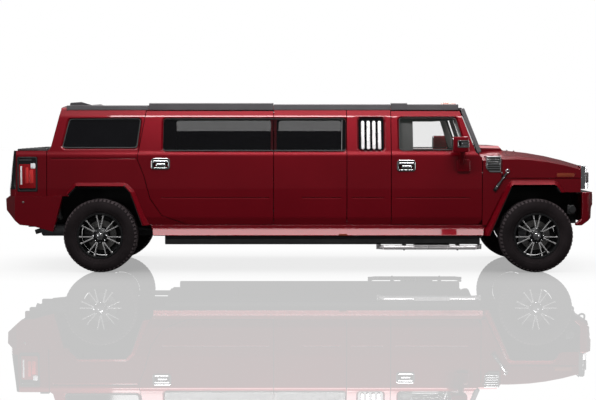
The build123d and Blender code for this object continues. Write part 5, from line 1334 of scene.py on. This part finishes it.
# ---------------------------------------------------------------- front and rear
@dataclass
class FrontEnd:
    """Lamps, grille mesh, intake, fog lamps, tow hooks and wipers."""

    lamp: Point = (GRILLE_BACK, 0.725, LAMP_LEVEL)
    slots: int = 8
    pitch: float = 0.122
    screen_foot: Flat = (2.132, 1.430)
    screen_slope: float = 0.3713

    def build(self) -> None:
        """Makes the front end's pieces."""
        self._headlamps()
        self._grille()
        self._bumper()
        self._hood()
        self._wipers()

    def _headlamps(self) -> None:
        """Round lamps: bezel, bowl, bulb cap and lens."""
        x, y, z = self.lamp
        bezel = Form().lathe(
            [
                (0.022, 0.0720), (0.022, 0.0955), (0.080, 0.0955), (0.086, 0.0930), (0.087, 0.0880),
                (0.080, 0.0845), (0.060, 0.0830), (0.034, 0.0640), (0.026, 0.0300), (0.024, 0.0),
                (0.022, 0.0),
            ],
            self.lamp, AHEAD, 56,
        )
        bezel.disc((x + 0.024, y, z), AHEAD, 0.020, 0.030, 0.006, 28).mirrored()
        bezel.piece("headlamp_bowls", Finishes.lamp_bowl, "body", ("headlamps",))
        lens = Form().lathe(
            [(0.066, 0.0), (0.066, 0.0835), (0.072, 0.0840), (0.078, 0.0600), (0.081, 0.0300), (0.082, 0.0)],
            self.lamp, AHEAD, 56,
        ).mirrored()
        lens.piece("headlamp_lenses", Finishes.clear, "body", ("headlamps",))
        blink = Form().pad(
            (0.870, LAMP_LEVEL), 0.046, 0.120, 0.014, "x", GRILLE_BACK + 0.010, GRILLE_BACK + 0.098, 0.004,
        )
        blink.mirrored().piece("turn_lamps", Finishes.smoke_lens, "body")

    def _grille(self) -> None:
        """Dark mesh with slim vanes behind each slot."""
        mesh, vanes = Form(), Form()
        for index in range(self.slots):
            y = (index - (self.slots - 1) / 2) * self.pitch
            mesh.pad((y, LAMP_LEVEL), 0.0835, 0.193, 0.004, "x", GRILLE_BACK + 0.0142, GRILLE_BACK + 0.0190)
            for row in range(9):
                level = LAMP_LEVEL + (row - 4) * 0.0215
                vanes.block(
                    (GRILLE_BACK + 0.018, y - 0.0416, level - 0.0016),
                    (GRILLE_BACK + 0.040, y + 0.0416, level + 0.0016), 0.0006, 1,
                )
        mesh.piece("grille_mesh", Finishes.shadow, "body")
        vanes.piece("grille_vanes", Finishes.trim, "body")

    def _bumper(self) -> None:
        """Lower intake, fog lamps, tow hooks and the round detail in each wheel arch."""
        lean = Matrix.Translation((3.5065, 0, 0.722)) @ Matrix.Rotation(math.atan2(0.030, 0.160), 4, "Y")
        intake = Form().pad((0, 0), 0.86, 0.104, 0.030, "x", -0.004, 0.0022, 0.001).moved(lean)
        intake.piece("bumper_intake", Finishes.shadow, "body")
        slats = Form()
        for row in (-0.034, -0.012, 0.010, 0.032):
            slats.pad((0, row), 0.84, 0.008, 0.003, "x", 0.0015, 0.0050, 0.001)
        slats.moved(lean).piece("bumper_slats", Finishes.trim, "body")
        fog = Form().lathe(
            [(0.0, 0.0), (0.0, 0.0500), (0.010, 0.0500), (0.013, 0.0460), (0.009, 0.0410), (0.009, 0.0)],
            (3.448, 0.655, 0.862), AHEAD, 40,
        ).mirrored()
        fog.piece("fog_rings", Finishes.chrome, "body")
        lens = Form().disc((3.456, 0.655, 0.862), AHEAD, 0.0405, 0.0045, 0.003, 40).mirrored()
        lens.piece("fog_lenses", Finishes.clear_lens, "body")
        hooks = Form().tube(
            [
                (3.455, 0.325, 0.665), (3.503, 0.325, 0.652), (3.506, 0.325, 0.600), (3.470, 0.325, 0.585),
                (3.430, 0.325, 0.610),
            ],
            0.012, 14, 0.016,
        )
        hooks.block((3.400, 0.300, 0.625), (3.470, 0.350, 0.680), 0.006).mirrored()
        hooks.piece("tow_hooks", Finishes.trim, "body")
        badge = Form().disc((3.208, 0.935, 0.746), OUT, 0.045, 0.012, 0.006, 36)
        badge.block((3.150, 0.900, 0.690), (3.236, 0.937, 0.800), 0.010)
        badge.mirrored().piece("arch_sensor_covers", Finishes.trim, "body")

    def _hood(self) -> None:
        """Louvred insert in the front of the hood's raised back, and rubber stops."""
        lean = Matrix.Translation((2.4255, 0, 1.4535)) @ Matrix.Rotation(-math.atan2(60, 77), 4, "Y")
        insert = Form().pad((0, 0), 0.90, 0.058, 0.012, "x", -0.004, 0.0016, 0.0006).moved(lean)
        insert.piece("hood_intake", Finishes.shadow, "hood")
        louvres = Form()
        for row in (-0.018, 0.0, 0.018):
            louvres.pad((0, row), 0.88, 0.007, 0.003, "x", 0.0, 0.0050, 0.001)
        louvres.moved(lean).piece("hood_louvres", Finishes.trim, "hood")
        jets = Form().disc((2.62, 0.26, 1.4185), Vector((0.1, 0, 1)), 0.010, 0.012, 0.003, 18).mirrored()
        jets.piece("washer_jets", Finishes.trim, "hood")

    def _wipers(self) -> None:
        """Two parked wipers at the foot of the windshield."""
        form = Form()
        for start, end in ((0.60, 0.02), (-0.06, -0.66)):
            foot, tip = self._on_screen(start, 1.452, 0.022), self._on_screen((start + end) / 2, 1.520, 0.030)
            form.disc(tuple(foot), Vector((1, 0, 0.37)), 0.014, 0.020, 0.004, 20)
            form.tube([tuple(foot), tuple(tip)], 0.006, 10)
            blade = [self._on_screen(start - 0.01, 1.500, 0.013), self._on_screen(end, 1.535, 0.013)]
            form.tube([tuple(point) for point in blade], 0.0055, 8)
        form.piece("wipers", Finishes.trim, "body")

    def _on_screen(self, across: float, height: float, above: float) -> Vector:
        """Point above the windshield's outer face."""
        foot, level = self.screen_foot
        return Vector((foot - self.screen_slope * (height - level) + above, across, height + above * 0.37))


@dataclass
class RearEnd:
    """Tail lamps, bumper pads, sensors, tailgate handle, plate lamps and the covered deck's ribs."""

    skin_y: float = 0.9280

    def build(self) -> None:
        """Makes the rear end's pieces."""
        self._tail_lamps()
        self._bumper()
        self._gate()
        self._deck()

    def _tail_lamps(self) -> None:
        """Dark housings with a bright bar, a red lens, its lamp and a clear corner."""
        middle = (-3.2335, 1.1635)
        housing = Form().pad(middle, 0.2380, 0.4120, 0.020, "y", self.skin_y + 0.0005, 0.9660, 0.005)
        housing.mirrored().piece("tail_housings", Finishes.gloss_black, "body", ("tail_lamps",))
        frame = Form().rim(
            middle, (0.2340, 0.4080, 0.018), (0.2020, 0.3700, 0.014), "y", 0.9640, 0.9715, 0.0022,
        )
        frame.mirrored().piece("tail_frames", Finishes.trim, "body", ("tail_lamps",))
        bar = Form().pad((-3.255, 1.331), 0.150, 0.009, 0.004, "y", 0.9655, 0.9705, 0.0015).mirrored()
        bar.piece("tail_bars", Finishes.chrome, "body", ("tail_lamps",))
        red = Form().pad((-3.234, 1.140), 0.196, 0.285, 0.014, "y", 0.9650, 0.9690, 0.0018).mirrored()
        red.piece("tail_lenses", Finishes.red_lens, "body", ("tail_lamps",))
        glow = Form().pad((-3.236, 1.150), 0.036, 0.190, 0.014, "y", 0.9670, 0.9712, 0.002)
        glow.pad((-3.185, 1.138), 0.046, 0.165, 0.016, "y", 0.9670, 0.9712, 0.002)
        glow.mirrored().piece("tail_lights", Finishes.glow_red, "body", ("tail_lamps",))
        clear = Form().pad((-3.165, 1.262), 0.056, 0.062, 0.010, "y", 0.9670, 0.9712, 0.002)
        clear.pad((-3.305, 1.150), 0.020, 0.220, 0.008, "y", 0.9670, 0.9705, 0.002)
        clear.mirrored().piece("reverse_lights", Finishes.clear_lens, "body", ("tail_lamps",))

    def _bumper(self) -> None:
        """Tread pads on the bumper's top, parking sensors and the silencer's tail."""
        pads = Form()
        for side in (-1, 1):
            pads.pad((-3.440, side * 0.560), 0.075, 0.420, 0.012, "z", 0.9040, 0.9085, 0.001)
            for rib in range(11):
                y = side * 0.560 + (rib - 5) * 0.036
                pads.block((-3.470, y - 0.004, 0.9070), (-3.410, y + 0.004, 0.9110), 0.001, 1)
        pads.piece("bumper_pads", Finishes.trim, "body")
        dots = Form().disc((-3.280, 0.9990, 0.836), OUT, 0.0125, 0.0035, 0.001, 24)
        dots.disc((-3.5100, 0.560, 0.800), Vector((-1, 0, 0.09)), 0.0125, 0.0035, 0.001, 24).mirrored()
        dots.piece("parking_sensors", Finishes.disc, "body")
        pipe = Form().lathe(
            [(0.0, 0.0), (0.0, 0.062), (0.014, 0.077), (0.310, 0.077), (0.324, 0.062), (0.324, 0.0)],
            (-3.146, -0.560, 0.478), AHEAD, 36,
        )
        down = [
            (-1.690, -0.250, 0.450), (-1.90, -0.250, 0.470), (-2.10, -0.250, 0.514), (-2.66, -0.250, 0.514),
            (-2.76, -0.42, 0.490), (-2.826, -0.560, 0.478),
        ]
        pipe.tube(down, 0.026, 14, 0.05)
        pipe.tube(
            [(-3.140, -0.560, 0.470), (-3.185, -0.560, 0.462), (-3.225, -0.560, 0.448)], 0.030, 16, 0.02,
        )
        for x in (-3.08, -2.90):
            pipe.tube([(x, -0.560, 0.550), (x, -0.430, 0.562), (x, -0.400, 0.562)], 0.007, 8)
        pipe.piece("silencer", Finishes.iron, "body")

    def _gate(self) -> None:
        """Handle in its recess on the tailgate, and two small lamps over the bare plate's place."""
        lean = Matrix.Translation((-3.4225, 0, 1.345)) @ Matrix.Rotation(math.atan2(46, 441), 4, "Y")
        tray = Form().pad((0, 0), 0.220, 0.090, 0.016, "x", -0.0030, 0.004, 0.002).moved(lean)
        tray.piece("gate_tray", Finishes.gloss_black, "tailgate")
        grip = Form().pad((0, 0.012), 0.170, 0.036, 0.010, "x", -0.0180, -0.0020, 0.004).moved(lean)
        grip.piece("gate_grip", Finishes.chrome, "tailgate")
        lamps = Form().block((-3.415, 0.150, 0.8760), (-3.400, 0.210, 0.8900), 0.003).mirrored()
        lamps.piece("plate_lamps", Finishes.clear_lens, "body")

    def _deck(self) -> None:
        """Raised ribs and a welt on the deck's cover."""
        ribs = Form()
        for row in range(7):
            y = (row - 3) * 0.235
            ribs.pad((-3.172, y), 0.350, 0.030, 0.012, "z", 1.4600, 1.4660, 0.002)
        ribs.piece("deck_ribs", Finishes.trim, "deck_lid")


# ---------------------------------------------------------------- roof, steps
@dataclass
class RoofLamps:
    """Five clearance lamps over the windshield."""

    crown: float = 1.990
    arc: float = 7.107
    count: int = 5
    pitch: float = 0.260

    def build(self) -> None:
        """Makes the lamps' lenses and red ends."""
        lenses, ends = Form(), Form()
        for index in range(self.count):
            y = (index - (self.count - 1) / 2) * self.pitch
            inner = max(abs(y) - 0.045, 0.0)
            base = self.crown - self.arc + math.sqrt(self.arc ** 2 - inner ** 2)
            lenses.block((1.7785, y - 0.0445, base + 0.0005), (1.846, y + 0.0445, base + 0.0355), 0.009, 3)
            ends.block((1.838, y - 0.041, base + 0.0005), (1.8675, y + 0.041, base + 0.031), 0.009, 3)
        lenses.piece("roof_lamp_lenses", Finishes.pale_lens, "body", ("marker_lamps",))
        ends.piece("roof_lamp_ends", Finishes.red_lens, "body", ("marker_lamps",))


@dataclass
class Steps:
    """Ribbed treads and brackets on the step tubes, and ribs along the rock rails."""

    pad_rear: float = 1.329
    pad_front: float = 1.753
    pad_top: float = 0.329

    def build(self) -> None:
        """Makes the treads and brackets of both sides."""
        tread, brackets = Form(), Form()
        tread.block(
            (self.pad_rear + 0.006, 0.921, self.pad_top - 0.001),
            (self.pad_front - 0.006, 1.009, self.pad_top + 0.003), 0.001, 1,
        )
        for rib in range(14):
            x = self.pad_rear + 0.030 + rib * 0.028
            tread.block(
                (x - 0.005, 0.925, self.pad_top + 0.002), (x + 0.005, 1.005, self.pad_top + 0.007), 0.0015, 1,
            )
        tread.mirrored().piece("step_treads", Finishes.trim, "body")
        for x in (1.216, 1.848):
            brackets.block((x - 0.022, 0.905, 0.318), (x + 0.022, 0.995, 0.3355), 0.004)
            brackets.disc((x, 0.960, 0.262), UP, 0.010, 0.014, 0.003, 6)
        brackets.mirrored().piece("step_brackets", Finishes.trim, "body")
        grooves = Form()
        for level in (0.372, 0.394, 0.416):
            grooves.pad((0.250, level), 3.640, 0.006, 0.003, "y", 0.9990, 1.0022, 0.0008)
        grooves.mirrored().piece("rail_ribs", Finishes.trim, "body")


# ---------------------------------------------------------------- cabin
@dataclass(frozen=True)
class Cushion:
    """A stuffed piece: a rounded block, blown up and sewn in channels."""

    name: str
    low: Point
    high: Point
    finish: Finish
    lean: float = 0.0
    channels: tuple[float, ...] = ()
    along: int = 1
    face: int = 2
    swell: float = 0.010
    edge: float = 0.035
    voxel: float = 0.012
    channel_depth: float = 0.007
    channel_width: float = 0.010
    fill: float = 0.8
    pressure: float = 4.0
    steps: int = 20

    def build(self, node: str) -> None:
        """Makes the piece in place of a CAD node, on the body."""
        inset = self.swell * 0.6
        low, high = tuple(a + inset for a in self.low), tuple(b - inset for b in self.high)
        made = Form().block(low, high, self.edge, 3).piece(self.name, self.finish, "body", (node,))
        remesh = made.modifiers.new("remesh", "REMESH")
        remesh.mode = "VOXEL"
        remesh.voxel_size = self.voxel
        self._apply(made)
        self._blow_up(made)
        self._sew(made)
        self._tilt(made)
        finer = made.modifiers.new("finer", "SUBSURF")
        finer.levels = finer.render_levels = 1
        self._apply(made)
        for polygon in made.data.polygons:
            polygon.use_smooth = True

    def _apply(self, made: bpy.types.Object) -> None:
        """Applies a piece's modifiers to its mesh."""
        bpy.context.view_layer.update()
        ready = bpy.data.meshes.new_from_object(made.evaluated_get(bpy.context.evaluated_depsgraph_get()))
        old = made.data
        made.modifiers.clear()
        ready.materials.clear()
        ready.materials.append(old.materials[0])
        made.data = ready
        bpy.data.meshes.remove(old)

    def _blow_up(self, made: bpy.types.Object) -> None:
        """Cloth simulation with pressure inside, with every point's movement capped."""
        rest = [vertex.co.copy() for vertex in made.data.vertices]
        cloth = made.modifiers.new("cloth", "CLOTH")
        cloth.settings.use_pressure = True
        cloth.settings.uniform_pressure_force = self.pressure
        cloth.settings.quality = 4
        cloth.settings.mass = 0.3
        cloth.settings.tension_stiffness = cloth.settings.compression_stiffness = 12.0
        cloth.settings.effector_weights.gravity = 0.0
        cloth.collision_settings.use_self_collision = False
        cloth.point_cache.frame_end = self.steps
        for step in range(1, self.steps + 1):
            bpy.context.scene.frame_set(step)
        self._apply(made)
        bpy.context.scene.frame_set(1)
        for vertex, start in zip(made.data.vertices, rest):
            move = vertex.co - start
            if move.length > self.swell:
                vertex.co = start + move.normalized() * self.swell

    def _sew(self, made: bpy.types.Object) -> None:
        """Presses the sewn channels into the seat's face."""
        for vertex in made.data.vertices:
            out = vertex.normal[self.face]
            if out < 0.3:
                continue
            spans = [(vertex.co[self.along] - line) / self.channel_width for line in self.channels]
            press = sum(math.exp(-(span ** 2)) for span in spans)
            vertex.co[self.face] -= self.channel_depth * min(press, 1.0) * out

    def _tilt(self, made: bpy.types.Object) -> None:
        """Leans the piece back about its foot."""
        if not self.lean:
            return
        foot = Vector(((self.low[0] + self.high[0]) / 2, 0, self.low[2]))
        turn = Matrix.Rotation(math.radians(self.lean), 4, "Y")
        made.data.transform(Matrix.Translation(foot) @ turn @ Matrix.Translation(-foot))


@dataclass
class Cabin:
    """Seats, benches, dashboard dressing, trims and floor covers."""

    driver: float = 0.430

    def build(self) -> None:
        """Makes everything inside the cabin."""
        self._front_seats()
        self._benches()
        self._dash()
        self._floor()
        self._trims()
        self._headlining()

    def _headlining(self) -> None:
        """Overhead console, sun visors and the lining of the windshield posts."""
        console = Form().block((1.160, -0.560, 1.792), (1.700, 0.560, 1.925), 0.02, 3)
        for y in (-0.36, 0.36):
            console.block((1.700, y - 0.20, 1.800), (1.860, y + 0.20, 1.822), 0.008)
        console.piece("overhead_console", Finishes.dash, "body")
        posts = Form().plate(
            [(1.800, 1.846), (1.945, 1.448), (2.035, 1.448), (1.870, 1.846)], "y", -0.118, -0.096, 0.02,
            0.006,
        )
        posts.draped(1)
        posts.mirrored().piece("post_linings", Finishes.roof_lining, "body")
        rear = Form().plate(
            [(1.125, 1.400), (1.330, 1.400), (1.330, 1.870), (1.125, 1.870)], "y", -0.112, -0.090, 0.02,
            0.006,
        )
        rear.draped(1)
        rear.mirrored().piece("rear_post_linings", Finishes.dash, "body")

    def _front_seats(self) -> None:
        """Two front seats, each a cushion, a leaning back and a head rest."""
        posts = Form()
        for name, y in (("right", -self.driver), ("left", self.driver)):
            lines = tuple(y + step for step in (-0.125, 0.125))
            Cushion(
                f"seat_cushion_{name}", (1.340, y - 0.247, 0.803), (1.910, y + 0.247, 0.940),
                Finishes.leather, channels=lines,
            ).build("front_seats")
            Cushion(
                f"seat_back_{name}", (1.250, y - 0.247, 0.850), (1.375, y + 0.247, 1.555), Finishes.leather,
                lean=-6.5, channels=lines, face=0,
            ).build("front_seats")
            Cushion(
                f"head_rest_{name}", (1.170, y - 0.128, 1.592), (1.270, y + 0.128, 1.738), Finishes.leather,
                edge=0.03, voxel=0.009,
            ).build("front_seats")
            for across in (-0.055, 0.055):
                posts.tube([(1.214, y + across, 1.530), (1.219, y + across, 1.620)], 0.006, 10)
            for rail in (y - 0.20, y + 0.20):
                posts.block((1.360, rail - 0.02, 0.660), (1.880, rail + 0.02, 0.700), 0.006)
            for x in (1.42, 1.80):
                posts.block((x - 0.03, y - 0.21, 0.690), (x + 0.03, y + 0.21, 0.810), 0.006)
        posts.piece("seat_frames", Finishes.steel, "body")

    def _benches(self) -> None:
        """Side bench and rear bench of the salon."""
        bases = Form()
        bases.block((-1.170, 0.345, 0.652), (0.353, 0.800, 0.900), 0.01)
        bases.block((-2.860, -0.610, 0.652), (-2.370, 0.610, 0.900), 0.01)
        bases.piece("bench_bases", Finishes.dash, "body", ("salon_benches",))
        lengthwise = tuple(-0.950 + 0.254 * step for step in range(6))
        crosswise = tuple(-0.465 + 0.186 * step for step in range(6))
        rows = (  # name, low and high corner, sewn channels, the axis that they are spaced along, its face
            ("side_bench_cushion", (-1.175, 0.335, 0.890), (0.358, 0.700, 1.008), lengthwise, 0, 2),
            ("side_bench_back", (-1.175, 0.705, 0.950), (0.358, 0.815, 1.396), lengthwise, 0, 2),
            ("rear_bench_cushion", (-2.760, -0.612, 0.890), (-2.358, 0.612, 1.008), crosswise, 1, 2),
            ("rear_bench_back", (-2.880, -0.612, 0.950), (-2.765, 0.612, 1.436), crosswise, 1, 0),
        )
        for name, low, high, channels, along, face in rows:
            Cushion(
                name, low, high, Finishes.dark_leather, channels=channels, along=along, face=face,
                voxel=0.016, channel_width=0.014,
            ).build("salon_benches")

    def _dash(self) -> None:
        """Instrument hood, screen, air vents, glove box line, selector and wheel pad."""
        hood = Form().plate(
            [(1.870, 1.305), (1.862, 1.350), (1.930, 1.372), (2.010, 1.352)], "y", self.driver - 0.17,
            self.driver + 0.17, 0.008, 0.006,
        )
        hood.pad((1.62, 0.922), 0.300, 0.020, 0.008, "y", -0.10, 0.10, 0.004)
        hood.tube([(1.640, 0.0, 0.925), (1.622, 0.0, 1.020)], 0.009, 12)
        hood.block((1.598, -0.030, 1.010), (1.648, 0.030, 1.062), 0.014, 3)
        hood.piece("dash_hood", Finishes.dash, "body")
        glossy = Form().pad((0.0, 1.215), 0.250, 0.130, 0.012, "x", 1.8545, 1.8680, 0.003)
        glossy.pad((self.driver, 1.285), 0.280, 0.040, 0.016, "x", 1.8520, 1.8640, 0.003)
        glossy.piece("dash_screens", Finishes.gloss_black, "body")
        vents = Form()
        for y in (-0.70, -0.22, 0.22, 0.72):
            vents.lathe(
                [(0.0, 0.036), (0.0, 0.048), (0.010, 0.048), (0.013, 0.042), (0.010, 0.036)],
                (1.866, y, 1.245), Vector((-1, 0, 0)), 36,
            )
            for row in (-0.020, 0.0, 0.020):
                vents.block(
                    (1.856, y - 0.034, 1.245 + row - 0.002), (1.868, y + 0.034, 1.245 + row + 0.002), 0.0008,
                    1,
                )
        vents.piece("dash_vents", Finishes.trim, "body")
        pad = Form().disc((0, 0, -0.004), UP, 0.060, 0.036, 0.012, 40)
        axis = Vector((-0.964, 0, 0.265)).normalized()
        turn = UP.rotation_difference(axis).to_matrix().to_4x4()
        pad.moved(Matrix.Translation((1.727, self.driver, 1.158)) @ turn)
        pad.piece("wheel_pad", Finishes.dash, "steering_wheel")

    def _floor(self) -> None:
        """Carpets on the cab's and the salon's floor."""
        carpet = Form().block((1.130, -0.835, 0.6485), (1.960, -0.150, 0.6580), 0.003)
        carpet.block((1.130, 0.150, 0.6485), (1.960, 0.835, 0.6580), 0.003)
        carpet.block((-1.750, -0.830, 0.6485), (1.075, 0.335, 0.6600), 0.003)
        carpet.block((-2.360, -0.600, 0.6485), (-1.760, 0.600, 0.6600), 0.003)
        carpet.piece("carpets", Finishes.carpet, "body")

    def _trims(self) -> None:
        """Arm rests, pulls and pockets inside the doors, and the bar's panel across the salon."""
        for side, name in SIDES:
            rest = Form().block((1.250, 0.835, 1.080), (1.820, 0.876, 1.150), 0.016, 3)
            rest.block((1.300, 0.850, 0.740), (1.900, 0.876, 0.900), 0.012)
            pull = [
                (1.420, 0.866, 1.250), (1.440, 0.835, 1.255), (1.560, 0.835, 1.255), (1.580, 0.866, 1.250),
            ]
            rest.tube(pull, 0.008, 10, 0.012)
            rest.sided(side).piece(f"door_trim_{name}", Finishes.dash, f"door_front_{name}")
            rear = Form().block((-1.150, 0.835, 1.120), (-0.560, 0.876, 1.180), 0.016, 3)
            rear.sided(side).piece(f"door_trim_rear_{name}", Finishes.dash, f"door_rear_{name}")
        blind = Form().plate(
            [(-1.640, 1.402), (0.530, 1.402), (0.530, 1.672), (-1.640, 1.672)], "y", -0.150, -0.128, 0.02,
            0.005,
        )
        blind.draped(1).piece("bar_panel", Finishes.gloss_black, "body")


class Underbody:
    """Dampers, springs and brake shields that show under the floor and through the wheels."""

    def build(self) -> None:
        """Makes the shields, dampers and springs."""
        for side, name in SIDES:
            for where, axle, body in (("front", FRONT_AXLE, f"knuckle_{name}"), ("rear", REAR_AXLE, "body")):
                shield = Form().lathe(
                    [
                        (-0.062, 0.110), (-0.062, 0.222), (-0.050, 0.238), (-0.047, 0.238), (-0.058, 0.221),
                        (-0.058, 0.110),
                    ],
                    (axle, WHEEL_MIDDLE, HUB_HEIGHT), OUT, 64,
                )
                shield.sided(side).piece(f"brake_shield_{where}_{name}", Finishes.steel, body)
        self._dampers()

    def _dampers(self) -> None:
        """Dampers with their coil springs."""
        form = Form()
        for foot, head in (
            ((FRONT_AXLE + 0.085, 0.600, 0.300), (FRONT_AXLE + 0.085, 0.470, 0.610)),
            ((REAR_AXLE + 0.110, 0.600, 0.440), (REAR_AXLE + 0.190, 0.445, 0.590)),
        ):
            form.tube([foot, head], 0.016, 14)
            middle = tuple(Vector(foot).lerp(Vector(head), 0.45))
            form.tube([foot, middle], 0.028, 18)
        form.mirrored().piece("dampers", Finishes.steel, "body")
        coil = Form()
        foot, head = Vector((FRONT_AXLE + 0.085, 0.580, 0.345)), Vector((FRONT_AXLE + 0.085, 0.480, 0.585))
        axis = (head - foot).normalized()
        wide = axis.cross(AHEAD).normalized()
        turns, runs = 6, 16
        route = []
        for step in range(turns * runs + 1):
            angle = 2 * math.pi * step / runs
            spot = foot.lerp(head, step / (turns * runs))
            route.append(tuple(spot + (AHEAD * math.cos(angle) + wide * math.sin(angle)) * 0.046))
        coil.tube(route, 0.0065, 8)
        coil.mirrored().piece("coil_springs", Finishes.iron, "body")


def main() -> None:
    """Builds the scene from the frame, piece by piece."""
    logging.basicConfig(level=logging.INFO, format="%(message)s")
    for made in list(bpy.data.objects):
        bpy.data.objects.remove(made)
    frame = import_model()
    bpy.context.scene.view_settings.view_transform = "Standard"
    Studio().build()
    Bodywork(frame).build()
    for end, axle in (("front", FRONT_AXLE), ("rear", REAR_AXLE)):
        for side, name in SIDES:
            Wheel(f"{end}_{name}", axle, side).build()
    for side, name in SIDES:
        SideTrim(side, name).build()
        DoorMirror(side, name).build()
    for assembly in (FrontEnd(), RearEnd(), RoofLamps(), Steps(), Cabin(), Underbody()):
        assembly.build()


if __name__ == "__main__":
    main()
